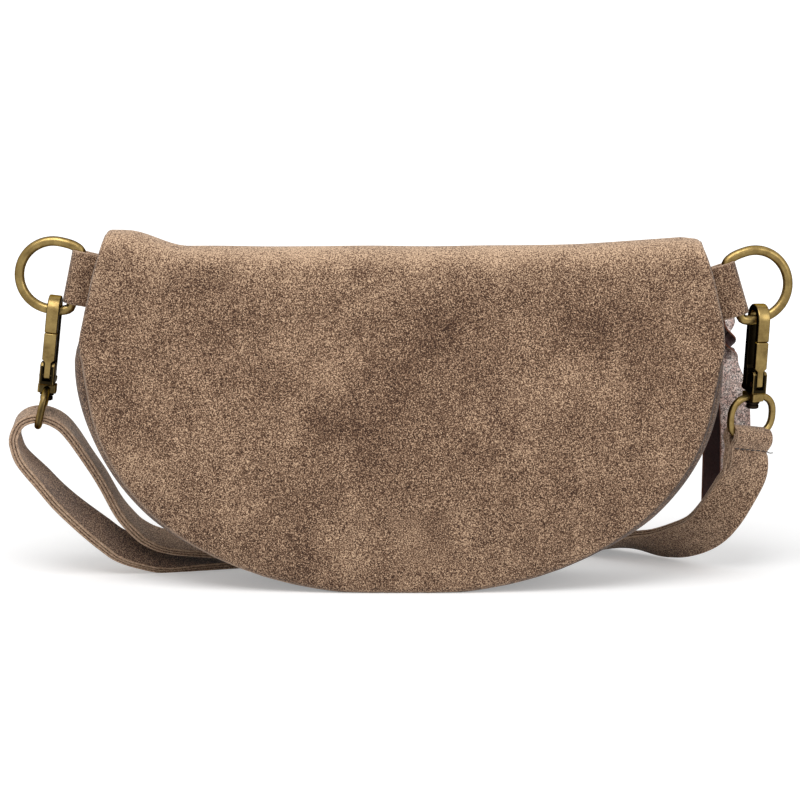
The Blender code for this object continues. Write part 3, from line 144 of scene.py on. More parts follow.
# Pull: the part's own sizes
PULLER_LENGTH = 29.0 * MM
PULLER_WIDTH = 6.0 * MM
PULLER_THICKNESS = 1.4 * MM
PULLER_REST_DEG = 33.0
BAIL_RADIUS = 3.6 * MM
PULL_THICKNESS = 1.3 * MM
PULL_HOLE = 3.0 * MM
PULL_NECK_WIDTH = 6.0 * MM
PULL_TAIL_WIDTH = 14.0 * MM
PULL_NECK_LENGTH = 22.0 * MM
PULL_FRONT_LENGTH = 76.0 * MM
PULL_BACK_LENGTH = 84.5 * MM
PULL_SPREAD = 5.0 * MM
PULL_SHIFT = 2.0 * MM
BAIL_AXIS = Vector((119.5, 25.95, 112.0)) * MM

# The strap's middle line at the left loop, from the floor over the loop and back down, in mm: x, z
LEFT_CLIMB = ((-107.4, 1.7), (-119.2, 5.0), (-127.1, 8.8), (-133.6, 14.3), (-143.4, 23.8),
              (-152.4, 33.4), (-159.2, 42.3), (-167.4, 53.2), (-170.0, 60.4), (-170.2, 64.6),
              (-168.2, 69.4), (-164.6, 72.0), (-160.2, 72.7), (-155.6, 71.8), (-150.5, 68.8),
              (-145.9, 63.4), (-139.5, 53.0), (-133.7, 42.4), (-127.2, 28.4), (-121.7, 20.5),
              (-115.4, 14.4), (-106.4, 10.2), (-89.0, 7.4))
LEFT_TOP = 12
LEFT_BACK_END = -66.0 * MM
LEFT_LOW_X = (-50.0 * MM, -72.0 * MM, -92.0 * MM)
LEFT_HIGH_X = (-70.0 * MM, -52.0 * MM, -38.0 * MM)
LEFT_BEFORE_TOP = 12.0 * MM
LEFT_AFTER_TOP = 11.0 * MM
LEFT_NAP = 0.2
# Painted shade: one face of the outer left run, low down, is painted darker where the inner run and the
# bag shade it
LEFT_PAINTED_SHADE = -0.42
# The right run's middle line in mm and the way from its inner to its outer edge: x, y, z, direction
RIGHT_RUN = ((152.9, 11.9, 47.0, 0.90, 0.38, -0.19), (149.6, 13.2, 40.2, 0.95, 0.15, -0.20),
             (142.6, 17.5, 27.0, 0.80, 0.15, -0.56), (135.8, 24.0, 17.6, 0.57, 0.35, -0.68),
             (126.6, 32.0, 11.6, 0.40, 0.50, -0.72), (118.0, 39.5, 8.4, 0.30, 0.65, -0.60),
             (107.0, 48.0, 7.0, 0.15, 0.88, -0.45), (94.0, 57.0, 3.6, 0.05, 1.0, -0.15))
LOOP_SWELL = 0.26
LEFT_LIFT = 0.30
OUTER_LIFT = 0.7
# Where the runs' lift comes and goes, as lengths from the ends of the outer and the inner run
OUT_LIFT = (-42 * MM, 4 * MM)
OUT_LIFT_FADE = 45 * MM
OUT_LIFT_MORE = (46 * MM, 12 * MM)
IN_LIFT = (15 * MM, 50 * MM)
IN_LIFT_END = 8 * MM
SWELL_REACH = 20.0 * MM
NEAR_EDGE_HELD = 0.42
RIGHT_FLOOR_X = (80.0 * MM, 71.0 * MM, FLOOR_JOINT_X)
FOLD_THICKNESS = 3.6 * MM
FURROW = (1.4 * MM, 5.0 * MM)
FURROW_DEPTH = 0.4
LOOSE_THREAD = 0.22 * MM
NEAR_STITCH_RADIUS = 0.32 * MM
FAR_STITCH_RADIUS = 0.26 * MM
ROLL_FALL = 0.17
ROLL_SHIFT = (-0.8 * MM, 0.0, -0.6 * MM)
HUMP_SHARES = ((-1.6, 1), (-1.15, 1), (-0.92, 1), (-0.6, 0.74), (-0.3, 0.0), (0.0, -0.06),
               (0.3, 0.0), (0.6, 0.74), (0.92, 1), (1.15, 1.0), (1.7, 1.75), (2.3, 2.0))


# Node materials

class Look:
    """A node material built call by call."""

    def __init__(self, name):
        self.material = bpy.data.materials.new(name)
        self.material.use_nodes = True
        self.tree = self.material.node_tree
        self.shader = self.tree.nodes["Principled BSDF"]
        self.place = self.tree.nodes.new("ShaderNodeTexCoord").outputs["Object"]

    def link(self, source, target):
        if isinstance(source, bpy.types.NodeSocket):
            self.tree.links.new(source, target)
        elif isinstance(source, (tuple, list)) and len(source) == 3 and target.type == "RGBA":
            target.default_value = (*source, 1.0)
        else:
            target.default_value = source

    def noise(self, scale, detail=2.0, rough=0.5):
        node = self.tree.nodes.new("ShaderNodeTexNoise")
        self.link(self.place, node.inputs["Vector"])
        node.inputs["Scale"].default_value = scale
        node.inputs["Detail"].default_value = detail
        node.inputs["Roughness"].default_value = rough
        return node.outputs["Fac"]

    def wave(self, scale, direction="X"):
        node = self.tree.nodes.new("ShaderNodeTexWave")
        node.bands_direction = direction
        self.link(self.place, node.inputs["Vector"])
        node.inputs["Scale"].default_value = scale
        return node.outputs["Fac"]

    def math(self, operation, first, second=0.0, clamp=False):
        node = self.tree.nodes.new("ShaderNodeMath")
        node.operation = operation
        node.use_clamp = clamp
        self.link(first, node.inputs[0])
        self.link(second, node.inputs[1])
        return node.outputs[0]

    def spread(self, value, low, high, out_low=0.0, out_high=1.0):
        node = self.tree.nodes.new("ShaderNodeMapRange")
        node.clamp = True
        self.link(value, node.inputs["Value"])
        for name, number in (("From Min", low), ("From Max", high),
                             ("To Min", out_low), ("To Max", out_high)):
            self.link(number, node.inputs[name])
        return node.outputs["Result"]

    def mix(self, share, first, second):
        node = self.tree.nodes.new("ShaderNodeMix")
        node.data_type = "RGBA"
        self.link(share, node.inputs[0])
        self.link(first, node.inputs[6])
        self.link(second, node.inputs[7])
        return node.outputs[2]

    def mark(self, name):
        node = self.tree.nodes.new("ShaderNodeAttribute")
        node.attribute_name = name
        return node.outputs["Fac"]

    def bump(self, height, distance, strength):
        node = self.tree.nodes.new("ShaderNodeBump")
        self.link(height, node.inputs["Height"])
        node.inputs["Distance"].default_value = distance
        node.inputs["Strength"].default_value = strength
        return node.outputs["Normal"]

    def finish(self, tone, rough, metal, normal, **rest):
        self.link(tone, self.shader.inputs["Base Color"])
        self.link(rough, self.shader.inputs["Roughness"])
        self.shader.inputs["Metallic"].default_value = metal
        self.link(normal, self.shader.inputs["Normal"])
        for name, number in rest.items():
            self.shader.inputs[name.replace("_", " ")].default_value = number
        return self.material


def colour(red, green, blue):
    """A colour written as in an image, turned to the shader's scale."""
    return tuple(((c / 255 + 0.055) / 1.055) ** 2.4 if c > 10 else c / 255 / 12.92
                 for c in (red, green, blue))


SUEDE_DARK = colour(45, 27, 18)
SUEDE_MID = colour(109, 80, 60)
SUEDE_LIGHT = colour(220, 187, 155)
CUT_LIGHT = colour(206, 178, 152)
CUT_DARK = colour(150, 122, 100)
# Near black for the brass: patina in hollows, and painted shade on sides, rims and the hook's spine
PATINA_AND_SHADE_COLOUR = colour(13, 11, 9)


# Suede's noises: scale, detail, roughness and weight in the tone. The last two are crisp specks.
SUEDE_NOISES = ((15.0, 3.0, 0.55, 0.42), (62.0, 4.0, 0.65, 0.68), (520.0, 2.0, 0.6, 0.45),
                (1650.0, 1.0, 0.5, 0.82), (2900.0, 1.0, 0.5, 0.95))
SPECK_RANGE = (0.36, 0.64)
DARK_RANGE = (-0.1, 0.5)
LIGHT_RANGE = (0.5, 1.35)


def suede_look(name, lift=0.0):
    """Suede: faint clouds of brushed pile, a crisp speckle and a furry bump; paler cut edges; painted
    light and shade added to the tone from the vertex mark.
    """
    look = Look(name)
    clouds, blots, strokes, grain, fine = (look.noise(*noise[:3]) for noise in SUEDE_NOISES)
    grain = look.spread(grain, *SPECK_RANGE)
    fine = look.spread(fine, *SPECK_RANGE)
    value = look.math("ADD", look.mark("nap_and_painted_light"), 0.5 + lift)
    for source, noise in zip((clouds, blots, strokes, grain, fine), SUEDE_NOISES):
        part = look.math("MULTIPLY", look.math("SUBTRACT", source, 0.5), noise[3])
        value = look.math("ADD", value, part)
    dark = look.mix(look.spread(value, *DARK_RANGE), SUEDE_DARK, SUEDE_MID)
    nap_and_painted_light = look.mix(look.spread(value, *LIGHT_RANGE), dark, SUEDE_LIGHT)
    cut = look.mix(look.spread(look.noise(1400.0, 2.0), 0.35, 0.65), CUT_DARK, CUT_LIGHT)
    # negative cut values are painted dark: painted shade in the seam at the right, darker lines in the
    # grooves between plies
    groove = look.math("MULTIPLY", look.mark("cut"), -1.0, True)
    tone = look.mix(look.math("MULTIPLY", look.mark("cut"), 1.0, True), nap_and_painted_light, cut)
    tone = look.mix(groove, tone, SUEDE_DARK)
    high = look.math("ADD", look.math("MULTIPLY", grain, 0.5), look.math("MULTIPLY", strokes, 0.8))
    normal = look.bump(high, 0.35 * MM, 0.6)
    return look.finish(tone, 0.95, 0.0, normal, Sheen_Weight=0.2, Sheen_Roughness=0.55,
                       Specular_IOR_Level=0.15)


EDGE_TINT = (0.30, 0.24, 0.14, 1.0)


def brass_look(name, base, dark, rough=0.3):
    """Antique brass: a warm metal, browner in soft patches, near black where its dark mark is set: oxide
    in hollows, and painted shade on sides, rims and the hook's spine.
    """
    look = Look(name)
    patches = look.noise(150.0, 3.0, 0.6)
    spots = look.noise(1300.0, 3.0, 0.6)
    scratch = look.noise(3000.0, 2.0, 0.5)
    share = look.spread(look.math("ADD", look.math("MULTIPLY", patches, 0.8),
                                  look.math("MULTIPLY", spots, 0.2)), 0.40, 0.75)
    tone = look.mix(share, base, dark)
    tone = look.mix(look.mark("patina_and_painted_shade"), tone, PATINA_AND_SHADE_COLOUR)
    roughness = look.spread(look.math("ADD", patches, look.math("MULTIPLY", scratch, 0.4)),
                            0.45, 0.95, rough * 0.8, rough * 1.4)
    normal = look.bump(look.math("ADD", look.math("MULTIPLY", spots, 0.5), scratch), 0.04 * MM, 0.3)
    return look.finish(tone, roughness, 1.0, normal, Specular_Tint=EDGE_TINT)


# The face's own pinkish silver, set paler as painted light to make up for the shade it lies in behind
# the bag
PULL_TINTS_WITH_PAINTED_LIGHT = (colour(232, 196, 184), colour(255, 240, 232))
PULL_FLESH = (colour(34, 14, 14), colour(66, 30, 28))
PULL_CRACK = colour(34, 22, 22)
PULL_EDGE = colour(128, 74, 50)
CRACK_RANGE = (0.012, 0.044)


def pull_look(name):
    """Metallic leather, crackled on its face, dark on its flesh side, brown on its cut edges."""
    look = Look(name)
    bend = look.noise(300.0, 3.0, 0.6)
    crack = look.math("ABSOLUTE", look.math("SUBTRACT", look.noise(700.0, 3.0, 0.6), 0.5))
    small = look.math("ABSOLUTE", look.math("SUBTRACT", look.noise(1300.0, 2.0, 0.5), 0.47))
    line = look.spread(look.math("MINIMUM", crack, look.math("MULTIPLY", small, 1.4)), *CRACK_RANGE)
    tint = look.mix(look.spread(bend, 0.35, 0.65), *PULL_TINTS_WITH_PAINTED_LIGHT)
    face = look.mix(line, PULL_CRACK, tint)
    flesh = look.mix(look.noise(900.0, 3.0), *PULL_FLESH)
    tone = look.mix(look.mark("flesh"), face, flesh)
    tone = look.mix(look.mark("cut"), tone, PULL_EDGE)
    rough = look.spread(line, 0.0, 1.0, 0.7, 0.4)
    normal = look.bump(line, 0.12 * MM, 0.8)
    return look.finish(tone, rough, 0.15, normal)


def woven_look(name, first, second, scale):
    """A plain weave."""
    look = Look(name)
    along = look.wave(scale, "X")
    across = look.wave(scale, "Z")
    thread = look.math("MULTIPLY", along, across)
    shade_of = look.math("ADD", look.math("MULTIPLY", thread, 0.7),
                         look.math("MULTIPLY", look.noise(500.0), 0.4))
    tone = look.mix(look.spread(shade_of, 0.15, 0.8), first, second)
    normal = look.bump(thread, 0.15 * MM, 0.6)
    return look.finish(tone, 0.9, 0.0, normal, Sheen_Weight=0.15)


def thread_look(name, tone_dark, tone_light):
    look = Look(name)
    twist = look.noise(2200.0, 2.0)
    tone = look.mix(look.spread(twist, 0.3, 0.7), tone_dark, tone_light)
    return look.finish(tone, 0.75, 0.0, look.bump(twist, 0.08 * MM, 0.6), Sheen_Weight=0.2)


SUEDE_LOOK = suede_look("suede_nap")
STRAP_LOOK = suede_look("suede_strap", 0.08)
BRASS = brass_look("antique_brass_worn", colour(164, 140, 88), colour(100, 80, 46))
BRASS_DARK = brass_look("antique_brass_dark", colour(84, 68, 46), colour(40, 31, 22), 0.4)
# Near black brass for the rivet under the swivel's collar: painted shade under the collar
PAINTED_SHADE_BRASS = brass_look("brass_painted_shade", colour(46, 38, 30), colour(24, 20, 16), 0.5)
STEEL = brass_look("spring_steel_dull", colour(150, 146, 140), colour(84, 80, 76), 0.35)
PULL_FACE = pull_look("metallic_crackle")
TAPE_LOOK = woven_look("zip_tape_weave", colour(62, 48, 38), colour(118, 96, 78), 1500.0)
LINING_LOOK = woven_look("lining_weave", colour(58, 48, 42), colour(104, 88, 76), 1100.0)
THREAD = thread_look("thread", colour(112, 88, 70), colour(176, 148, 124))
THREAD_DARK = thread_look("thread_dark", colour(36, 30, 30), colour(84, 72, 66))


# Meshes

# The largest angle between faces that are shaded as one: in general, on plates and on straps
SMOOTH_DEG = 40.0
PLATE_SMOOTH_DEG = 32.0
STRAP_SMOOTH_DEG = 50.0


def linked(name, data):
    """An object for the data, in the scene."""
    obj = bpy.data.objects.new(name, data)
    bpy.context.scene.collection.objects.link(obj)
    return obj


def new_object(name, points, faces, look, smooth_deg=SMOOTH_DEG):
    mesh = bpy.data.meshes.new(name)
    mesh.from_pydata([tuple(p) for p in points], [], faces)
    work = bmesh.new()
    work.from_mesh(mesh)
    bmesh.ops.recalc_face_normals(work, faces=work.faces)
    work.to_mesh(mesh)
    work.free()
    obj = linked(name, mesh)
    mesh.materials.append(look)
    mesh.shade_smooth()
    if smooth_deg:
        mesh.set_sharp_from_angle(angle=math.radians(smooth_deg))
    return obj


def mark(obj, name, values, domain="POINT"):
    """Stores one number a vertex or face, for the material to read."""
    obj.data.attributes.new(name, "FLOAT", domain).data.foreach_set("value", values)


def placed(obj, body, slot, *nodes):
    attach(obj, body)
    if nodes:
        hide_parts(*nodes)
    return obj


def patina_and_painted_shade(obj, place, amount):
    """Darkens faces by their centre and normal in the place's own axes: oxide in hollows, and painted
    shade on faces turned aside.
    """
    back = place.inverted()
    turn = back.to_3x3()
    values = [amount(back @ face.center, turn @ face.normal) for face in obj.data.polygons]
    mark(obj, "patina_and_painted_shade", values, "FACE")


def rim_patina_and_shade(obj, place, depth):
    """Darkens a bent wire where it looks in or out, as painted shade with some oxide, and leaves its two
    flat sides bright.
    """
    turn = place.inverted().to_3x3()
    flat_axis = 2 if obj.name.startswith("ring") else 1
    mark(obj, "patina_and_painted_shade", [depth * (1 - smooth(0.1, 0.6, abs((turn @ vertex.normal)[flat_axis])))
                         for vertex in obj.data.vertices])


def evaluated_mesh(obj):
    return bpy.data.meshes.new_from_object(obj.evaluated_get(bpy.context.evaluated_depsgraph_get()))


def settle(obj):
    """The object's modifiers, worked into its mesh."""
    bpy.context.view_layer.update()
    result = evaluated_mesh(obj)
    obj.modifiers.clear()
    obj.data = result
    return obj


def arc(centre, radius, start_deg, end_deg, steps):
    points = []
    for step in range(steps + 1):
        angle = math.radians(start_deg + (end_deg - start_deg) * step / steps)
        points.append((centre[0] + radius * math.cos(angle), centre[1] + radius * math.sin(angle)))
    return points


def rounded_box(half_x, half_y, corner, steps):
    """The outline of a rectangle with round corners."""
    path = []
    for x_sign, y_sign, start in ((1, 1, 0), (-1, 1, 90), (-1, -1, 180), (1, -1, 270)):
        centre = (x_sign * (half_x - corner), y_sign * (half_y - corner))
        path += arc(centre, corner, start, start + 90, steps)
    return path


def ring_faces(sides, rings, closed=False, caps=True):
    """The faces between rings of points in a row, and over its two ends."""
    faces = []
    for ring in range(rings if closed else rings - 1):
        after = (ring + 1) % rings
        for step in range(sides):
            beside = (step + 1) % sides
            faces.append((ring * sides + step, ring * sides + beside,
                          after * sides + beside, after * sides + step))
    if caps and not closed:
        faces += [tuple(range(sides)), tuple(range((rings - 1) * sides, rings * sides))]
    return faces


def smooth(low, high, value):
    share = min(1.0, max(0.0, (value - low) / (high - low)))
    return share * share * (3 - 2 * share)


def through(points, per_span=6):
    """A smooth curve through the points."""
    result = []
    last = len(points) - 1
    for index in range(last):
        p0 = points[max(0, index - 1)]
        p1 = points[index]
        p2 = points[index + 1]
        p3 = points[min(last, index + 2)]
        for step in range(per_span):
            t = step / per_span
            result.append(0.5 * ((2 * p1) + (p2 - p0) * t + (2 * p0 - 5 * p1 + 4 * p2 - p3) * t ** 2
                                 + (3 * p1 - p0 - 3 * p2 + p3) * t ** 3))
    result.append(points[last].copy())
    return result


def lengths_of(points):
    lengths = [0.0]
    for first, second in zip(points, points[1:]):
        lengths.append(lengths[-1] + (second - first).length)
    return lengths


def spaced(points, step):
    """Points at even steps along a line of points."""
    lengths = lengths_of(points)
    total = lengths[-1]
    count = max(2, round(total / step))
    result = []
    index = 0
    for number in range(count + 1):
        want = total * number / count
        while index < len(lengths) - 2 and lengths[index + 1] < want:
            index += 1
        span = lengths[index + 1] - lengths[index]
        share = 0.0 if span == 0 else (want - lengths[index]) / span
        result.append(points[index].lerp(points[index + 1], share))
    return result


def frame_of(origin, x_axis, y_axis, z_axis):
    matrix = Matrix((x_axis, y_axis, z_axis)).transposed().to_4x4()
    matrix.translation = origin
    return matrix


def tube(points, radius, sides, closed=False):
    """Vertices and faces of a round bar along the points, its ends rounded off."""
    count = len(points)
    verts = []
    normal = None
    rings = []
    for index in range(count):
        if closed:
            tangent = points[(index + 1) % count] - points[index - 1]
        else:
            tangent = points[min(count - 1, index + 1)] - points[max(0, index - 1)]
        tangent.normalize()
        if normal is None:
            guide = UP if abs(tangent.z) < 0.9 else Vector((1.0, 0.0, 0.0))
            normal = (guide - tangent * guide.dot(tangent)).normalized()
        else:
            normal = (normal - tangent * normal.dot(tangent)).normalized()
        rings.append((points[index], tangent, normal, 1.0))
    if not closed:
        first, last = rings[0], rings[-1]
        caps = ((0.9, 0.45), (0.6, 0.8))
        rings = [(first[0] - first[1] * radius * out, first[1], first[2], size)
                 for size, out in reversed(caps)] + rings
        rings += [(last[0] + last[1] * radius * out, last[1], last[2], size) for size, out in caps]
    for point, tangent, side, size in rings:
        other = tangent.cross(side)
        for step in range(sides):
            angle = 2 * math.pi * step / sides
            verts.append(point + (side * math.cos(angle) + other * math.sin(angle)) * radius * size)
    return verts, ring_faces(sides, len(rings), closed)


def add_up(shapes):
    """Several (vertices, faces) as one."""
    verts = []
    faces = []
    for part_verts, part_faces in shapes:
        start = len(verts)
        verts += part_verts
        faces += [tuple(index + start for index in face) for face in part_faces]
    return verts, faces


def lathe(profile, matrix, steps=28):
    """(radius, height) points turned round the matrix's Z axis, from axis to axis."""
    verts = []
    rings = []
    for radius, height in profile:
        if radius < 1e-7:
            rings.append([len(verts)])
            verts.append(matrix @ Vector((0.0, 0.0, height)))
        else:
            rings.append(list(range(len(verts), len(verts) + steps)))
            for step in range(steps):
                angle = 2 * math.pi * step / steps
                spot = Vector((radius * math.cos(angle), radius * math.sin(angle), height))
                verts.append(matrix @ spot)
    faces = []
    for low, high in zip(rings, rings[1:]):
        for step in range(steps):
            beside = (step + 1) % steps
            if len(low) == 1:
                faces.append((low[0], high[beside], high[step]))
            elif len(high) == 1:
                faces.append((low[step], low[beside], high[0]))
            else:
                faces.append((low[step], low[beside], high[beside], high[step]))
    return verts, faces


def plate(outlines, thickness, bevel, matrix):
    """Vertices and faces of a flat outline with holes, given a thickness and eased edges."""
    curve = bpy.data.curves.new("plate", "CURVE")
    curve.dimensions = "2D"
    curve.fill_mode = "BOTH"
    curve.extrude = thickness / 2 - bevel
    curve.bevel_depth = bevel
    curve.bevel_resolution = 2
    curve.offset = -bevel
    for outline in outlines:
        spline = curve.splines.new("POLY")
        spline.points.add(len(outline) - 1)
        for spot, point in zip(spline.points, outline):
            spot.co = (point[0], point[1], 0.0, 1.0)
        spline.use_cyclic_u = True
    holder = linked("plate", curve)
    bpy.context.view_layer.update()
    mesh = evaluated_mesh(holder)
    work = bmesh.new()
    work.from_mesh(mesh)
    bmesh.ops.remove_doubles(work, verts=work.verts, dist=0.002 * MM)
    bmesh.ops.transform(work, matrix=matrix, verts=work.verts)
    verts = [v.co.copy() for v in work.verts]
    work.verts.index_update()
    faces = [tuple(v.index for v in f.verts) for f in work.faces]
    work.free()
    bpy.data.objects.remove(holder, do_unlink=True)
    bpy.data.meshes.remove(mesh)
    return verts, faces


FACING = Matrix.Rotation(math.radians(90), 4, "X")
FRONTAL = Matrix(((0.0, 0.0, 1.0, 0.0), (1.0, 0.0, 0.0, 0.0),
                  (0.0, 1.0, 0.0, 0.0), (0.0, 0.0, 0.0, 1.0)))


# Shape of the bag

def seam_half_width(height):
    drop = max(0.0, SEAM_CENTRE_HEIGHT - (height + BOTTOM_SAG)) / SEAM_CENTRE_HEIGHT
    width = SEAM_HALF_WIDTH * max(0.0, 1 - drop ** OUTLINE_POWER) ** (1 / OUTLINE_POWER)
    above = max(0.0, height - LEAN_IN_START) / (TOP_HEIGHT - LEAN_IN_START)
    return width - LEAN_IN * above ** 2


def blend_to_fold(height):
    weight = smooth(FOLD_HEIGHT / 2, FOLD_HEIGHT, height)
    return (FOLD_Y - FOLD_RADIUS - lean_y(FOLD_HEIGHT)) * weight


def lean_y(height):
    share = max(0.0, height) / TOP_HEIGHT
    return BASE_FRONT_Y + (FAR_FACE_Y - TOP_THICKNESS - BASE_FRONT_Y) * share ** 1.5


def front_seam_y(height):
    return lean_y(height) + blend_to_fold(height)


def crown(height, across_share):
    up_share = min(1.0, max(0.0, height) / (TOP_HEIGHT - TOP_THICKNESS / 2))
    rise = math.sin(math.pi * min(1.0, up_share * 1.15 + 0.12)) if up_share < 1 else 0.0
    return PANEL_CROWN * max(0.0, rise) * (1 - across_share ** 4)


LEFT_EAR = 7.0 * MM
LEFT_EAR_START = 93.0 * MM
LEFT_EAR_FULL = 120.0 * MM
RIGHT_EAR_DROP = 1.6 * MM


def top_rise(height, x, across_share):
    weight = smooth(RISE_START_HEIGHT, TOP_HEIGHT, height)
    if x < 0:
        return weight * LEFT_EAR * smooth(LEFT_EAR_START, LEFT_EAR_FULL, -x)
    share = abs(across_share)
    return weight * (CORNER_RISE * share ** 3 - RIGHT_EAR_DROP * smooth(0.93, 1.0, share))


# How far the front panel's edge spreads past the seam near the top: height and distance, in mm
EDGE_SPREAD = {-1: ((84, 0.0), (92, 0.6), (97, 1.4), (103, 2.8), (107, 3.0), (112, 2.5), (118, 1.8),
                    (127, 1.0), (140, 0.3), (160, 0.0)),
               1: ((84, 0.0), (92, 0.8), (98, 2.2), (104, 3.3), (114, 3.4), (127, 2.5), (139, 2.3),
                   (160, 2.3))}
HIDDEN_GUSSET = 0.3 * MM


def edge_spread(sign, height):
    table = EDGE_SPREAD[sign]
    tall = height / MM
    for (low, first), (high, second) in zip(table, table[1:]):
        if low <= tall <= high:
            return (first + (second - first) * smooth(low, high, tall)) * MM
    return 0.0


def spread_x(share, half, height):
    """The place across a panel row, with the row's ends spread."""
    sign = -1 if share < 0 else 1
    return share * half + sign * edge_spread(sign, height) * abs(share) ** 10


STRAIGHT_SHARE = 0.2
OUTLINE_STEPS = 1600


def outline_point(share, top):
    """A point of the half-moon seam, from the top left (0) round the bottom to the top right (1)."""
    turn = abs(2 * share - 1)
    side = -1.0 if share < 0.5 else 1.0
    if turn > 1 - STRAIGHT_SHARE:
        up_share = (turn - 1 + STRAIGHT_SHARE) / STRAIGHT_SHARE
        height = SEAM_CENTRE_HEIGHT + (top - SEAM_CENTRE_HEIGHT) * up_share
        return side * seam_half_width(height), height
    angle = math.pi / 2 * turn / (1 - STRAIGHT_SHARE)
    power = 2 / OUTLINE_POWER
    x = side * SEAM_HALF_WIDTH * math.sin(angle) ** power
    return x, max(0.0, SEAM_CENTRE_HEIGHT * (1 - math.cos(angle) ** power) - BOTTOM_SAG)


def outline_tree():
    tree = KDTree(OUTLINE_STEPS + 1)
    for index in range(OUTLINE_STEPS + 1):
        x, z = outline_point(index / OUTLINE_STEPS, TOP_HEIGHT + CORNER_RISE)
        tree.insert((x, 0.0, z), index)
    tree.balance()
    return tree


OUTLINE = outline_tree()


def edge_distance(x, z):
    return OUTLINE.find((x, 0.0, z))[2]


EDGE_SHARES = (0.004, 0.01, 0.018, 0.028, 0.04, 0.06)


def across_shares(count):
    """Shares from -1 to 1, closer together by the seams."""
    inner = 1 - EDGE_SHARES[-1]
    middle = [inner * (2 * step / count - 1) for step in range(count + 1)]
    ends = [1 - share for share in EDGE_SHARES[:-1]]
    return [-1.0] + [-share for share in ends] + middle + list(reversed(ends)) + [1.0]


ROLL = 2.5 * MM
FAR_ROLL_SHARE = 0.8


def roll(distance):
    """How far a panel's edge turns in at its seam."""
    near = max(0.0, 1 - distance / ROLL)
    return ROLL * (1 - math.sqrt(max(0.0, 1 - near * near)))


def soft(x, z, reach, amount, seed):
    """A slow unevenness of the hide."""
    return amount * noise.noise(Vector((x / reach, z / reach, seed)))


# Brushed places on the front: across and up from the origin in mm, reach in mm, darker or paler share
NAP_MARKS = ((15, 105, 26, -0.16), (88, 118, 24, -0.11), (36, 128, 15, -0.10), (-62, 108, 20, -0.06),
             (-30, 100, 16, 0.06), (-20, 72, 30, -0.12), (60, 30, 34, -0.06),
             (-70, 18, 30, 0.05), (-64, 88, 16, -0.08), (-105, 110, 14, -0.06), (45, 62, 26, -0.05),
             (-88, 128, 26, -0.08), (-118, 84, 22, -0.09), (72, 90, 22, 0.05), (-10, 36, 26, 0.05),
             (110, 70, 24, 0.04), (-60, 50, 22, 0.05), (20, 128, 30, 0.02), (118, 120, 16, -0.04))


def nap_at(x, z):
    value = 0.0
    for mark_x, mark_z, reach, amount in NAP_MARKS:
        across = (x / MM - mark_x) / reach
        above = (z / MM - mark_z) / (reach * 0.75)
        value += amount * math.exp(-across * across - above * above)
    return value


def grid(name, rows, look, thickness, naps_and_painted_light=None, cuts=None):
    """A sheet from rows of points, thickened inwards."""
    columns = len(rows[0])
    points = [point for row in rows for point in row]
    faces = []
    for row in range(len(rows) - 1):
        for column in range(columns - 1):
            here = row * columns + column
            faces.append((here, here + 1, here + columns + 1, here + columns))
    obj = new_object(name, points, faces, look, None)
    if naps_and_painted_light is not None:
        mark(obj, "nap_and_painted_light", naps_and_painted_light)
    if cuts is not None:
        mark(obj, "cut", cuts)
    solid = obj.modifiers.new("thickness", "SOLIDIFY")
    solid.thickness = thickness
    solid.offset = -1.0
    return obj


def fix_side(obj, outward):
    """Turns the sheet's faces so that they look the way outward says."""
    total = 0.0
    for polygon in obj.data.polygons:
        total += polygon.normal.dot(outward(polygon.center)) * polygon.area
    if total < 0:
        obj.data.flip_normals()


EDGE_HELD_SHARE = 0.72


def lowest_at(x):
    """The height of the seam's lower half at a place across, as far as the panels are held at it."""
    share = abs(x) / SEAM_HALF_WIDTH
    if share > EDGE_HELD_SHARE:
        return 0.0
    drop = (1 - share ** OUTLINE_POWER) ** (1 / OUTLINE_POWER)
    return max(0.0, SEAM_CENTRE_HEIGHT * (1 - drop) - BOTTOM_SAG)


def work_in(obj, lowest=lambda x: 0.0):
    """The sheet's thickness worked into its mesh, and nothing left under the floor or its own edge."""
    settle(obj)
    for vertex in obj.data.vertices:
        vertex.co.z = max(vertex.co.z, lowest(vertex.co.x))


def panel_heights(top, count):
    heights = []
    for step in range(count + 1):
        angle = math.pi / 2 * step / count
        heights.append(top * (1 - math.cos(angle)) * 0.62 + top * 0.38 * (step / count) ** 1.5)
    return heights


PANEL_COLUMNS = 72
PANEL_ROWS = 46
FOLD_STEPS = 14
FAR_COLUMNS = 56
FAR_ROWS = 34
# Painted light: the fold is painted paler where it faces up, and a little below it on the front and
# behind it
TOP_LIGHT = 0.50
FRONT_LIGHT = TOP_LIGHT * 0.12
LIGHT_TURN = (0.22, 0.98)
# The front's slow unevenness: reach, amount and seed
FRONT_UNEVEN = ((46.0 * MM, 1.2 * MM, 3.0), (17.0 * MM, 0.25 * MM, 8.0))
RAW_FADE = (92.0 * MM, 106.0 * MM)
GUSSET_FADE = (99.0 * MM, 113.0 * MM)
# The cut edge's line: its own pale tone at the left, painted shade in the seam at the right
EDGE_PALE = 0.5
EDGE_SEAM_SHADE = -0.85
EDGE_TURN = (30.0 * MM, 85.0 * MM)


def cut_edge_and_seam_shade(distance, height=0.0, x=0.0):
    """The line of a panel's cut edge: pale at the left, and painted dark at the right as painted shade
    in the seam; fading out near the top.
    """
    tone = EDGE_PALE + (EDGE_SEAM_SHADE - EDGE_PALE) * smooth(*EDGE_TURN, x)
    return tone * (1 - smooth(0.5 * MM, 1.2 * MM, distance)) * (1 - smooth(*RAW_FADE, height))


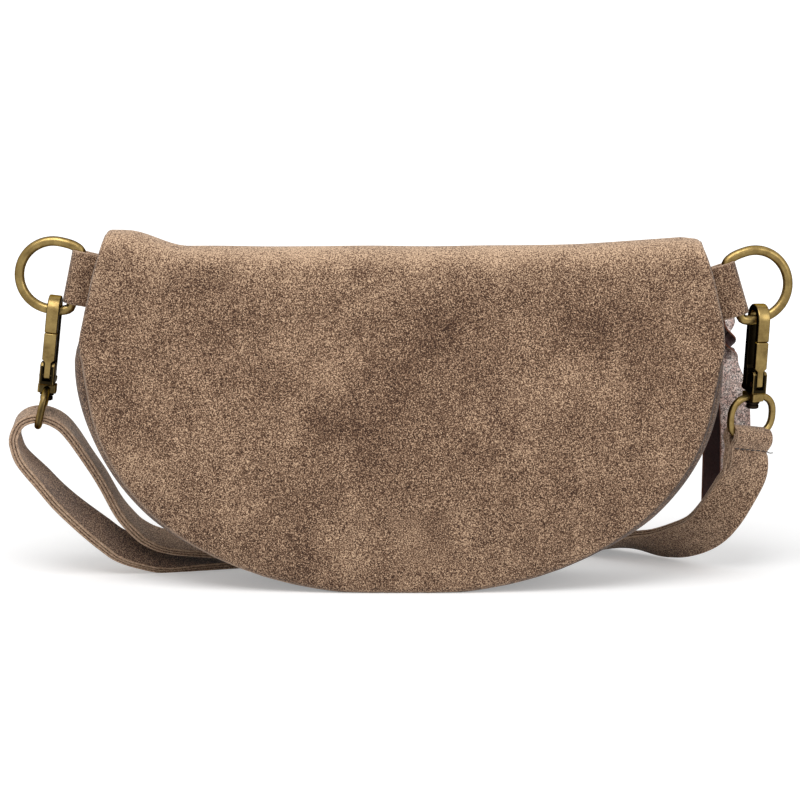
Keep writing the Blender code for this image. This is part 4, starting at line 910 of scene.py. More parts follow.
def make_panel(name, node, columns, levels, outward):
    """A panel from (height, place) levels, where place gives a point, its brushed tone with painted
    light, and its edge line.
    """
    rows = []
    naps_and_painted_light = []
    cuts = []
    for height, place in levels:
        half = seam_half_width(height)
        row = []
        for share in across_shares(columns):
            point, nap_and_painted_light, cut = place(share, half, height, spread_x(share, half, height))
            row.append(point)
            naps_and_painted_light.append(nap_and_painted_light)
            cuts.append(cut)
        rows.append(row)
    obj = grid(name, rows, SUEDE_LOOK, SUEDE, naps_and_painted_light, cuts)
    fix_side(obj, outward)
    work_in(obj, lowest_at)
    return placed(obj, "bag", "suede", node)


def front_point(share, half, height, x):
    edge = edge_distance(share * half, height)
    y = front_seam_y(height) - crown(height, share) + roll(edge)
    inside = smooth(0.0, 25.0 * MM, edge)
    for reach, amount, seed in FRONT_UNEVEN:
        y += soft(x, height, reach, amount, seed) * inside
    nap_and_painted_light = nap_at(x, height) + FRONT_LIGHT * smooth(FOLD_HEIGHT - 12.0 * MM, FOLD_HEIGHT, height)
    return Vector((x, y, height + top_rise(height, x, share))), nap_and_painted_light, cut_edge_and_seam_shade(edge, height, x)


def fold_point(angle):
    """The rule for a row of the fold over the top."""
    def place(share, half, height, x):
        radius = FOLD_RADIUS - roll((1 - abs(share)) * half) * FAR_ROLL_SHARE
        y = FOLD_Y - radius * math.cos(angle)
        z = FOLD_HEIGHT + radius * math.sin(angle)
        z += top_rise(height, x, share) + soft(x, y, 38.0 * MM, 0.7 * MM, 21.0) * math.sin(angle)
        # painted light: paler as the fold turns to face up
        lit = TOP_LIGHT * (0.12 + 0.88 * smooth(*LIGHT_TURN, math.sin(angle)))
        return Vector((x, y, z)), lit, 0.0
    return place


def behind_point(part):
    """The rule for a row between the fold and the zip."""
    def place(share, half, height, x):
        y = FAR_FACE_Y - roll((1 - abs(share)) * half) * FAR_ROLL_SHARE
        z = height + top_rise(height, x, share) * (1 - part)
        return Vector((x, y, z)), FRONT_LIGHT * (1 - part), 0.0
    return place


def make_main_panel():
    """The front, the fold over the top and the strip down to the zip, in one hide."""
    levels = [(height, front_point) for height in panel_heights(FOLD_HEIGHT, PANEL_ROWS)]
    for step in range(1, FOLD_STEPS + 1):
        angle = math.pi * step / FOLD_STEPS
        levels.append((FOLD_HEIGHT + FOLD_RADIUS * math.sin(angle), fold_point(angle)))
    for part in (0.3, 0.6, 0.85, 1.0):
        height = FOLD_HEIGHT + (ZIP_HEIGHT + ZIP_SLOT / 2 - FOLD_HEIGHT) * part
        levels.append((height, behind_point(part)))
    inside = FOLD_HEIGHT - 30.0 * MM
    make_panel("suede_main", "main_panel", PANEL_COLUMNS, levels,
               lambda c: c - Vector((c.x, FOLD_Y, inside)))


def make_far_panel():
    top = ZIP_HEIGHT - ZIP_SLOT / 2

    def place(share, half, height, x):
        edge = edge_distance(share * half, height)
        swell = 1.6 * MM * smooth(0.0, 30.0 * MM, edge) * smooth(0.0, 40.0 * MM, top - height)
        uneven = (soft(x, height, 40.0 * MM, 0.7 * MM, 55.0) * smooth(0.0, 25.0 * MM, edge)
                  * smooth(0.0, 12.0 * MM, top - height))
        y = FAR_FACE_Y - roll(edge) * FAR_ROLL_SHARE + swell + uneven
        return Vector((x, y, height)), 0.0, cut_edge_and_seam_shade(edge, height)

    levels = [(height, place) for height in reversed(panel_heights(top, FAR_ROWS))]
    make_panel("suede_far", "far_panel", FAR_COLUMNS, levels, lambda c: Vector((0.0, 1.0, 0.0)))


GUSSET_STATIONS = 150
GUSSET_COLUMNS = 16
# Painted shade on the gusset: darker at the left, more so at the right, fading out near the top
GUSSET_SHADE = {-1: -0.14, 1: -0.36}
SEAM_DIP = 0.9 * MM
RIM_SWELL = 2.2 * MM
RIM_SWELL_HEIGHT = 98.0 * MM
RIM_SWELL_REACH = 26.0 * MM


def make_gusset():
    """The band between the panels. At the left it swells beside the seam like a welt."""
    top = TOP_HEIGHT - 2.2 * MM
    points = [outline_point(step / GUSSET_STATIONS, top) for step in range(GUSSET_STATIONS + 1)]
    rows = []
    naps_and_painted_light = []
    for index, (x, height) in enumerate(points):
        before = points[max(0, index - 1)]
        after = points[min(GUSSET_STATIONS, index + 1)]
        along = Vector((after[0] - before[0], after[1] - before[1])).normalized()
        outward = Vector((along.y, -along.x))
        bulge = GUSSET_BULGE * smooth(0.0, BULGE_FULL_HEIGHT, height)
        if x < 0:
            bulge += RIM_SWELL * math.exp(-((height - RIM_SWELL_HEIGHT) / RIM_SWELL_REACH) ** 2)
        sign = -1 if x < 0 else 1
        hidden = max(0.0, edge_spread(sign, height) - HIDDEN_GUSSET)
        bulge += (hidden - bulge) * smooth(*GUSSET_FADE, height)
        low = front_seam_y(height) + SUEDE + GAP + SEAM_DIP
        high = FAR_FACE_Y - SUEDE - GAP
        if height > FOLD_HEIGHT:
            reach = math.sqrt(max(0.0, (FOLD_RADIUS - SUEDE) ** 2 - (height - FOLD_HEIGHT) ** 2))
            low, high = FOLD_Y - reach, FOLD_Y + reach
        rise = top_rise(height, x, 1.0)
        row = []
        # painted shade on the gusset
        naps_and_painted_light += [GUSSET_SHADE[sign] * (1 - smooth(*RAW_FADE, height))] * (GUSSET_COLUMNS + 1)
        for column in range(GUSSET_COLUMNS + 1):
            angle = math.pi * column / GUSSET_COLUMNS
            share = -math.cos(angle)
            uneven = (soft(x + height, share * 0.02, 0.03, 0.35 * MM, 90.0) * (1 - abs(share) ** 3)
                      * smooth(4 * MM, 20 * MM, height))
            out = bulge * (1 - abs(share) ** 5) + uneven
            row.append(Vector((x + outward.x * out, low + (high - low) * (share + 1) / 2,
                               max(0.0, height + outward.y * out) + rise)))
        rows.append(row)
    obj = grid("suede_gusset", rows, SUEDE_LOOK, SUEDE, naps_and_painted_light)
    fix_side(obj, lambda c: Vector((c.x, 0.0, c.z - 90.0 * MM)))
    work_in(obj)
    return placed(obj, "bag", "suede", "gusset")


def frame_copy(node, ending, look):
    """The frame's own form of a node, with another look."""
    obj = linked(node + ending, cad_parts[node].data.copy())
    obj.data.materials.clear()
    obj.data.materials.append(look)
    return obj


def make_inner():
    """Lining and inner pocket: the frame's own sheets in cloth."""
    for name in ("lining", "inner_pocket"):
        placed(frame_copy(name, "_cloth", LINING_LOOK), "bag", "lining", name)


TAPE_REACH = 136.2 * MM
TAPE_STEPS = 134


def make_tapes():
    """The zip's tapes run to the side seams, and meet beyond the stops."""
    for name, up in (("upper", 1.0), ("lower", -1.0)):
        rows = []
        for part in (0.0, 0.08, 0.5, 1.0):
            swell = TAPE_THICKNESS * 0.7 * (1 - smooth(0.0, 0.12, part))
            row = []
            for step in range(TAPE_STEPS + 1):
                x = TAPE_REACH * (2 * step / TAPE_STEPS - 1)
                closed = smooth(ZIP_HALF_LENGTH + 1.2 * MM, ZIP_HALF_LENGTH + 3.2 * MM, abs(x))
                near = TAPE_EDGE * (1 - closed) + 0.1 * MM * closed
                rise = near + (ZIP_SLOT / 2 + TAPE_LAP - near) * part
                y = TEETH_Y + TAPE_THICKNESS / 2 + swell * 0.3
                row.append(Vector((x, y, ZIP_HEIGHT + up * rise)))
            rows.append(row)
        obj = grid("tape_" + name, rows, TAPE_LOOK, TAPE_THICKNESS)
        fix_side(obj, lambda c: Vector((0.0, 1.0, 0.0)))
        placed(obj, "bag", "zip_tape", "zip_tape_" + name)


# Straps

EDGE_EASE = 0.3 * MM
PLY_GROOVE = 0.6 * MM


def band_section(width, thickness, plies=3):
    """Round a cut strap: (across, through, cut) points, with a groove between its plies on each edge."""
    half = width / 2
    deep = thickness / 2
    ease = EDGE_EASE
    groove = PLY_GROOVE
    edge = [(half - ease * 2.4, deep, 0.0), (half - ease * 0.8, deep - ease * 0.3, 0.5),
            (half, deep - ease * 1.3, 1.0)]
    for step in range(1, plies):
        level = deep * (1 - 2 * step / plies)
        lip = deep * 0.2
        edge += [(half - ease * 0.2, level + lip, 0.7), (half - groove, level + lip * 0.3, -0.5),
                 (half - groove, level - lip * 0.3, -0.5), (half - ease * 0.2, level - lip, 0.7)]
    edge += [(half, -deep + ease * 1.3, 1.0), (half - ease * 0.8, -deep + ease * 0.3, 0.5),
             (half - ease * 2.4, -deep, 0.0)]
    face = [share * half for share in (0.9, 0.6, 0.2, -0.2, -0.6, -0.9)]
    other = [(-x, y, cut) for x, y, cut in reversed(edge)]
    return ([(x, deep, 0.0) for x in reversed(face)] + edge + [(x, -deep, 0.0) for x in face] + other)


def ribbon(name, points, across_of, look, width=VISIBLE_WIDTH, thickness=STRAP_THICKNESS, plies=3,
           width_of=None, flesh=False, nap_and_painted_light=0.0, caps=True, deep_of=None, painted_shade_of=None,
           beside=(None, None)):
    """A strap along the points with cut edges."""
    section = band_section(width, thickness, plies)
    last = len(points) - 1
    verts = []
    cuts = []
    backs = []
    naps_and_painted_light = []
    for index, point in enumerate(points):
        share = index / last
        under = painted_shade_of(share) if painted_shade_of else 0.0
        ahead = points[index + 1] if index < last else beside[1] or point
        behind = points[index - 1] if index > 0 else beside[0] or point
        tangent = (ahead - behind).normalized()
        across = across_of(share)
        across = (across - tangent * across.dot(tangent)).normalized()
        normal = tangent.cross(across)
        scale = width_of(share) / width if width_of else 1.0
        deep = deep_of(share) if deep_of else 1.0
        for x, y, cut in section:
            spot = point + across * x * scale + normal * y * deep
            spot.z = max(spot.z, 0.0)
            verts.append(spot)
            cuts.append(cut)
            backs.append(1.0 if flesh and y > 0 else 0.0)
            naps_and_painted_light.append(nap_and_painted_light + (under if y < -thickness * 0.49 else 0.0))
    obj = new_object(name, verts, ring_faces(len(section), len(points), caps=caps), look,
                     STRAP_SMOOTH_DEG)
    mark(obj, "cut", cuts)
    mark(obj, "nap_and_painted_light", naps_and_painted_light)
    if flesh:
        mark(obj, "flesh", backs)
    return obj


def ring_half(x):
    if x >= 0:
        return math.sqrt(RING_RADIUS ** 2 - x ** 2)
    inner = 1 - (-x / RING_INNER_REACH) ** RING_INNER_POWER
    return RING_RADIUS * inner ** (1 / RING_INNER_POWER)


def side_sign(side):
    return -1.0 if side == "left" else 1.0


def ring_frame(side):
    sign = side_sign(side)
    lean = math.radians(RING_LEAN_DEG[side])
    bar = Vector((-sign * math.sin(lean), 0.0, math.cos(lean)))
    out = Vector((sign * math.cos(lean), 0.0, math.sin(lean)))
    centre_y = FAR_FACE_Y - TOP_THICKNESS * 0.58
    origin = Vector((RING_CENTRE_X[side], centre_y, RING_CENTRE_Z[side])) - out * RING_CHORD
    out = Matrix.Rotation(math.radians(RING_YAW_DEG[side]) * sign, 3, bar) @ out
    return frame_of(origin, out, bar, out.cross(bar))


def hang_point(side):
    out = HANG_OUT[side]
    return ring_frame(side) @ Vector((RING_CHORD + out, -ring_half(out), 0.0))


def clasp_frame(side):
    up = Vector((-CLASP_LEAN_X[side], -CLASP_LEAN_Y[side], 1.0)).normalized()
    yaw = math.radians(CLASP_YAW_DEG[side])
    gate = Vector((math.sin(yaw), -math.cos(yaw), 0.0))
    gate = (gate - up * gate.dot(up)).normalized()
    return frame_of(hang_point(side), gate, up.cross(gate), up)


HOOK_OUTER_HALF = HOOK_INNER_HALF + HOOK_BAR
HOOK_ARC_Z = WIRE + HOOK_SEAT_GAP - HOOK_INNER_HALF
GATE_PIVOT = Vector((HOOK_OUTER_HALF - GATE_PIVOT_IN, 0.0, -GATE_PIVOT_DROP))
COLLAR_TOP = -(BASE_BOTTOM_DROP + GAP)
COLLAR_BOTTOM = COLLAR_TOP - COLLAR_HEIGHT


def swivel_frame(side):
    return clasp_frame(side) @ Matrix.Rotation(math.radians(EYE_TURN_DEG[side]), 4, "Z")


def loop_frame(side):
    middle = Matrix.Translation((0.0, 0.0, (COLLAR_TOP + COLLAR_BOTTOM) / 2))
    return swivel_frame(side) @ middle @ Matrix.Rotation(math.radians(LOOP_TILT_DEG[side]), 4, "X")


def bar_point(side):
    return loop_frame(side) @ Vector((0.0, 0.0, -LOOP_TALL[side]))


def bar_direction(side):
    return loop_frame(side).to_3x3() @ Vector((1.0, 0.0, 0.0))


def make_d_ring(side):
    half_bar = ring_half(-RING_CHORD)
    count = 9
    sides = [RING_CORNER + (RING_CHORD - RING_CORNER) * step / count for step in range(count)]
    path = [(x, -ring_half(x - RING_CHORD)) for x in sides]
    path += arc((RING_CHORD, 0.0), RING_RADIUS, -90, 90, 34)
    path += [(x, ring_half(x - RING_CHORD)) for x in reversed(sides)]
    path += [(RING_CORNER / 4, half_bar), (0.0, half_bar - RING_CORNER)]
    path += [(0.0, (half_bar - RING_CORNER) * share) for share in (0.6, 0.2, -0.2, -0.6)]
    path += [(0.0, RING_CORNER - half_bar), (RING_CORNER / 4, -half_bar)]
    matrix = ring_frame(side)
    verts, faces = tube([matrix @ Vector((x, y, 0.0)) for x, y in path], RING_WIRE, 20, True)
    obj = new_object("ring_" + side, verts, faces, BRASS)
    # painted shade with patina on the ring's rims
    rim_patina_and_shade(obj, matrix, 0.7)
    placed(obj, "ring_" + side, "antique_brass", "d_ring_" + side)


def make_tab(side):
    """Suede folded round the D-ring's bar, its two ends sewn in at the bag's side."""
    sign = side_sign(side)
    place = ring_frame(side)
    bar = place.to_3x3() @ Vector((0.0, 1.0, 0.0))
    lean = math.radians(RING_LEAN_DEG[side])
    out = Vector((sign * math.cos(lean), 0.0, math.sin(lean)))
    across = Vector((0.0, 1.0, 0.0))
    centre = place.translation
    skin = seam_half_width(centre.z) + GUSSET_BULGE
    base = -(abs(centre.x) - skin) / math.cos(lean) + (SUEDE / 2 + GAP)
    wrap = WIRE + GAP + SUEDE / 2
    inside = base - TAB_ROOT
    step = SUEDE
    lean_change = seam_half_width(centre.z - step) - seam_half_width(centre.z + step)
    slope = math.tan(lean - math.atan2(lean_change, 2 * step))
    path = [(inside, -wrap * 0.35), (base - TAB_ROOT * 0.4, -wrap * 0.6), (base * 0.8, -wrap * 0.85),
            (base * 0.3, -wrap)]
    path += arc((0.0, 0.0), wrap, -90, 90, 14)
    path += [(base * 0.3, wrap), (base * 0.8, wrap * 0.85), (base - TAB_ROOT * 0.4, wrap * 0.6),
             (inside, wrap * 0.35)]
    line = spaced(through([Vector((v, n, 0.0)) for v, n in path], 4), 1.1 * MM)
    section = band_section(TAB_WIDTH, SUEDE, 1)
    verts = []
    cuts = []
    last = len(line) - 1
    for index, spot in enumerate(line):
        tangent = (line[min(last, index + 1)] - line[max(0, index - 1)]).normalized()
        normal = Vector((-tangent.y, tangent.x, 0.0))
        for along, deep, cut in section:
            v = spot.x + normal.x * deep
            n = spot.y + normal.y * deep
            shift = slope * along * min(1.0, max(0.0, v / base))
            verts.append(centre + out * (v + shift) + across * n + bar * (along + TAB_RAISE))
            cuts.append(cut)
    obj = new_object("suede_tab_" + side, verts, ring_faces(len(section), len(line)), SUEDE_LOOK,
                     STRAP_SMOOTH_DEG)
    mark(obj, "cut", cuts)
    mark(obj, "nap_and_painted_light", [0.02] * len(verts))
    placed(obj, "bag", "suede", "tab_" + side)


def carve(name, shape, look, cutters):
    """A piece with cutters taken out of it."""
    obj = new_object(name, *shape, look)
    tools = []
    for cut in cutters:
        tool = new_object("tool", *cut, look)
        modifier = obj.modifiers.new("cut", "BOOLEAN")
        modifier.operation = "DIFFERENCE"
        modifier.object = tool
        tools.append(tool)
    settle(obj)
    for tool in tools:
        bpy.data.objects.remove(tool, do_unlink=True)
    obj.data.materials.clear()
    obj.data.materials.append(look)
    obj.data.shade_smooth()
    obj.data.set_sharp_from_angle(angle=math.radians(PLATE_SMOOTH_DEG))
    return obj


def box_shape(low, high, matrix):
    verts = [matrix @ Vector((x, y, z)) for x in (low[0], high[0]) for y in (low[1], high[1])
             for z in (low[2], high[2])]
    faces = [(0, 1, 3, 2), (4, 6, 7, 5), (0, 4, 5, 1), (2, 3, 7, 6), (0, 2, 6, 4), (1, 5, 7, 3)]
    return verts, faces


HOOK_EASE = 0.6 * MM
FORK_EASE = 0.55 * MM
FORK_CORNER = 1.2 * MM
NOSE_CORNER = 0.4 * MM
PIN_PROUD = 0.15 * MM
# How dark the patina and painted shade are on the hook's spine, and on plates' sides and inside the
# fork; and how dark the patina is on the rest
SPINE_PATINA_AND_SHADE, SIDES_PATINA_AND_SHADE, PATINA_REST = 0.97, 0.95, 0.35


def make_hook(side):
    """The hook's bar and nose, and the fork below that holds the gate between its cheeks."""
    place = clasp_frame(side)
    outer = arc((0.0, HOOK_ARC_Z), HOOK_OUTER_HALF, 180, 0, 30)
    nose_ease = NOSE_CORNER
    nose = [(HOOK_OUTER_HALF, -HOOK_NOSE_DROP + nose_ease),
            (HOOK_OUTER_HALF - nose_ease, -HOOK_NOSE_DROP),
            (HOOK_INNER_HALF + nose_ease, -HOOK_NOSE_DROP),
            (HOOK_INNER_HALF, -HOOK_NOSE_DROP + nose_ease)]
    inner = arc((0.0, HOOK_ARC_Z), HOOK_INNER_HALF, 0, 180, 24)
    ease = FORK_CORNER
    foot = -BASE_BOTTOM_DROP
    spine = [(-HOOK_INNER_HALF, -FORK_TOP_DROP + ease), (-HOOK_INNER_HALF + ease, -FORK_TOP_DROP),
             (-HOOK_INNER_HALF + ease, foot + ease), (-HOOK_OUTER_HALF + ease, foot + ease),
             (-HOOK_OUTER_HALF, foot + 2 * ease)]
    obj = new_object("hook_" + side, *plate([outer + nose + inner + spine], HOOK_THICKNESS, HOOK_EASE,
                                            place @ FACING), BRASS, PLATE_SMOOTH_DEG)
    # Painted shade with patina: the hook's spine and the plate's sides are painted near black
    patina_and_painted_shade(obj, place, lambda c, n: SPINE_PATINA_AND_SHADE if c.x < -0.5 * MM and c.z < -3.0 * MM else
           SIDES_PATINA_AND_SHADE * smooth(0.45, 0.9, abs(n.y)))
    placed(obj, "clasp_" + side, "antique_brass", "clasp_hook_" + side)
    back = -HOOK_OUTER_HALF + 0.4 * MM
    step = FORK_BACK
    low = foot + FORK_FOOT
    cheek = [(back, low), (step - ease, low), (step, low + ease), (step, -FORK_TOP_DROP - ease),
             (step + ease, -FORK_TOP_DROP), (FORK_FRONT - ease, -FORK_TOP_DROP),
             (FORK_FRONT, -FORK_TOP_DROP - ease), (FORK_FRONT, foot + ease * 0.6),
             (FORK_FRONT - ease * 0.6, foot), (back + ease * 0.6, foot), (back, foot + ease * 0.6)]
    body = plate([cheek], FORK_WIDTH, FORK_EASE, place @ FACING)
    slot = box_shape((-3.0 * MM, -FORK_SLOT / 2, foot + 2.0 * MM),
                     (FORK_FRONT + MM, FORK_SLOT / 2, -FORK_TOP_DROP + MM), place)
    fork = carve("fork_" + side, body, BRASS, [slot])

    # Painted shade with patina: the fork's back, its sides and its slot near black, the rest lightly
    # darkened
    def fork_patina_and_shade(c, n):
        in_slot = abs(c.y) < FORK_SLOT / 2 + 0.02 * MM and c.z > foot + 1.8 * MM
        dark = c.x < FORK_FRONT - 1.3 * MM or abs(n.y) > 0.8 or in_slot
        return SIDES_PATINA_AND_SHADE if dark else PATINA_REST

    patina_and_painted_shade(fork, place, fork_patina_and_shade)
    placed(fork, "clasp_" + side, "antique_brass")
    head = PIN_RADIUS * 1.5
    pin_place = place @ Matrix.Translation(GATE_PIVOT) @ FACING
    half = FORK_WIDTH / 2 + PIN_PROUD
    profile = [(0.0, -half), (head * 0.7, -half), (head, -half + 0.2 * MM),
               (PIN_RADIUS, -half + 0.5 * MM), (PIN_RADIUS, half - 0.5 * MM), (head, half - 0.2 * MM),
               (head * 0.7, half), (0.0, half)]
    pin = new_object("pin_" + side, *lathe(profile, pin_place, 18), BRASS_DARK)
    placed(pin, "clasp_" + side, "spring_steel", "gate_pin_" + side)


GATE_EASE = 0.45 * MM
KNUCKLE_EASE = 0.3 * MM
GATE_CORNER = 0.35 * MM


def make_gate(side):
    """A flat bar as wide as the hook, narrowed where it goes in between the fork's cheeks."""
    frame_at = clasp_frame(side)
    right = HOOK_OUTER_HALF - 0.1 * MM
    deep = HOOK_BAR * 0.95
    top = -HOOK_NOSE_DROP - GAP
    wide = HOOK_THICKNESS / 2
    slim = GATE_THICKNESS / 2
    shoulder = -FORK_TOP_DROP + 0.3 * MM
    low = -BASE_BOTTOM_DROP + 3.4 * MM
    corner = GATE_CORNER
    half = [(wide - corner, top), (wide, top - corner), (wide, shoulder + (wide - slim)),
            (slim, shoulder), (slim, low + corner), (slim - corner, low)]
    outline = half + [(-y, z) for y, z in reversed(half)]
    face_place = frame_at @ Matrix.Translation((right - deep / 2, 0.0, 0.0)) @ FRONTAL
    bar = plate([outline], deep, GATE_EASE, face_place)
    heel = [(GATE_PIVOT.x + x, GATE_PIVOT.z + z)
            for x, z in arc((0.0, 0.0), GATE_PIVOT_IN - GAP, 0, 360, 24)[:-1]]
    knuckle = plate([heel], GATE_THICKNESS, KNUCKLE_EASE, frame_at @ FACING)
    obj = new_object("gate_" + side, *add_up([bar, knuckle]), BRASS, PLATE_SMOOTH_DEG)
    # Painted shade with patina: the gate's sides and the faces turned back are painted dark
    patina_and_painted_shade(obj, frame_at, lambda c, n: 0.9 * smooth(0.6, 0.95, abs(n.y)) + (0.5 if n.x < 0 else 0.0))
    placed(obj, "gate_" + side, "antique_brass", "clasp_gate_" + side)


SPRING_TURNS = 5
SPRING_LENGTH = 2.6 * MM
SPRING_WIRE = 0.17 * MM


def make_spring(side):
    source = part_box("gate_spring_" + side)
    centre = (Vector(source[0]) + Vector(source[1])) / 2
    axis = clasp_frame(side).to_3x3() @ Vector((1.0, 0.0, 0.0))
    guide = clasp_frame(side).to_3x3() @ Vector((0.0, 0.0, 1.0))
    other = axis.cross(guide)
    turn_steps = 12
    steps = SPRING_TURNS * turn_steps
    path = []
    for step in range(steps + 1):
        angle = 2 * math.pi * step / turn_steps
        along = (step / steps - 0.5) * SPRING_LENGTH
        round_it = guide * math.cos(angle) + other * math.sin(angle)
        path.append(centre + axis * along + round_it * 0.62 * MM)
    obj = new_object("spring_" + side, *tube(path, SPRING_WIRE, 8), STEEL)
    placed(obj, "clasp_" + side, "spring_steel", "gate_spring_" + side)


COLLAR_HALVES = (3.2 * MM, 4.1 * MM)
COLLAR_CORNER = 0.9 * MM
COLLAR_BORE = 1.65 * MM
COLLAR_EASE = 0.4 * MM
LOOP_STEPS = 56
LOOP_TOP_SHARE = 0.46
RIVET_SHANK = 1.5 * MM
RIVET_HEAD = 2.8 * MM
RIVET_TOP = -BASE_BOTTOM_DROP + 1.7 * MM


def make_swivel(side):
    """The swivel: a block that turns on the rivet, and the oval loop that it carries."""
    place = swivel_frame(side)
    middle = (COLLAR_TOP + COLLAR_BOTTOM) / 2
    block = rounded_box(*COLLAR_HALVES, COLLAR_CORNER, 4)
    bore = arc((0.0, 0.0), COLLAR_BORE, 360, 0, 24)[:-1]
    collar_place = place @ Matrix.Translation((0.0, 0.0, middle))
    collar = plate([block, bore], COLLAR_HEIGHT, COLLAR_EASE, collar_place)
    points = []
    tall = LOOP_TALL[side]
    for step in range(1, LOOP_STEPS):
        angle = 2 * math.pi * step / LOOP_STEPS
        x = LOOP_HALF * math.copysign(abs(math.sin(angle)) ** (2 / LOOP_POWER), math.sin(angle))
        z = tall / 2 * math.copysign(abs(math.cos(angle)) ** (2 / LOOP_POWER), math.cos(angle))
        if z < tall * LOOP_TOP_SHARE or abs(x) > COLLAR_HALVES[0] * 0.5:
            points.append(loop_frame(side) @ Vector((x, 0.0, z - tall / 2)))
    loop = tube(spaced(points, 0.7 * MM), EYE_WIRE, 18)
    obj = new_object("eye_" + side, *add_up([collar, loop]), BRASS)
    # painted shade with patina on the rims of the loop and its block
    rim_patina_and_shade(obj, loop_frame(side), 0.75)
    placed(obj, "swivel_" + side, "antique_brass", "swivel_eye_" + side)
    head_top = COLLAR_BOTTOM - GAP
    rim = RIVET_HEAD + 0.3 * MM
    neck = RIVET_HEAD * 0.8
    profile = [(0.0, RIVET_TOP), (RIVET_SHANK, RIVET_TOP), (RIVET_SHANK, head_top),
               (RIVET_HEAD, head_top)]
    profile += [(radius, head_top - drop * MM) for radius, drop in (
        (rim, 0.2), (rim, 0.8), (neck, 1.0), (neck, 1.4), (RIVET_HEAD, 1.6), (RIVET_HEAD, 2.9),
        (neck, 3.2), (0.0, 3.2))]
    # the rivet is painted near black as the shade under the collar
    rivet = new_object("rivet_" + side, *lathe(profile, clasp_frame(side)), PAINTED_SHADE_BRASS, PLATE_SMOOTH_DEG)
    placed(rivet, "clasp_" + side, "antique_brass", "swivel_rivet_" + side)


# Strap route

def left_plane(x, z):
    bar = bar_point("left")
    return Vector((bar.x + x, bar.y + x * LEFT_PLANE_SLOPE, z))


LEFT_ACROSS = Vector((-LEFT_PLANE_SLOPE, 1.0, 0.0)).normalized()


def strap_level(layer):
    return STRAP_THICKNESS / 2 + layer * (STRAP_THICKNESS + GAP)


def floor_point(x, layer):
    bar = bar_point("left")
    straight = bar.y + (x - bar.x) * LEFT_PLANE_SLOPE
    if x > 0:
        at_bend = bar.y - bar.x * LEFT_PLANE_SLOPE
        straight = at_bend + LEFT_PLANE_SLOPE * x * max(0.0, 1 - x / RIGHT_REACH / 2)
    return Vector((x, straight, strap_level(layer)))


def floor_across(x):
    along = floor_point(x + STRAP_STEP, 0) - floor_point(x - STRAP_STEP, 0)
    return UP.cross(along).normalized()


def cut_line(points, marks):
    """The line cut at lengths along it: neighbouring pieces share their end points."""
    lengths = lengths_of(points)
    bounds = [0.0] + list(marks) + [lengths[-1]]
    pieces = []
    for start, end in zip(bounds, bounds[1:]):
        piece = [point_at(points, lengths, start)]
        piece += [p for p, length in zip(points, lengths) if start + 0.4 * MM < length < end - 0.4 * MM]
        piece.append(point_at(points, lengths, end))
        pieces.append(piece)
    return pieces


def point_at(points, lengths, want):
    for index in range(len(points) - 1):
        if lengths[index + 1] >= want - 1e-9:
            span = lengths[index + 1] - lengths[index]
            return points[index].lerp(points[index + 1], (want - lengths[index]) / span)
    return points[-1].copy()


def beside_of(pieces, index):
    """The line's points just before and just after one of its pieces."""
    before = pieces[index - 1][-2] if index > 0 else None
    after = pieces[index + 1][1] if index < len(pieces) - 1 else None
    return before, after


def nearest_length(points, target):
    lengths = lengths_of(points)
    return min(zip(points, lengths), key=lambda pair: (pair[0] - target).length)[1]


def bend_piece(obj, first, second, start, end, *nodes):
    """The strap piece's place worked into its mesh, and the frame's nodes hidden; the two bodies and the
    two points are not used.
    """
    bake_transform(obj)
    if nodes:
        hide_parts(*nodes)


def bend_along(obj, first, second, points):
    """The strap piece's place worked into its mesh by bend_piece, given points about an eighth of its
    length in from each end.
    """
    count = len(points) - 1
    bend_piece(obj, first, second, points[max(1, round(count * 0.12))],
               points[min(count - 1, round(count * 0.88))])


def on_piece(rule, start, end):
    """A rule of the length along a whole strap, for a share of one of its pieces."""
    return lambda share: rule(start + (end - start) * share)


STEP = 1.6 * MM


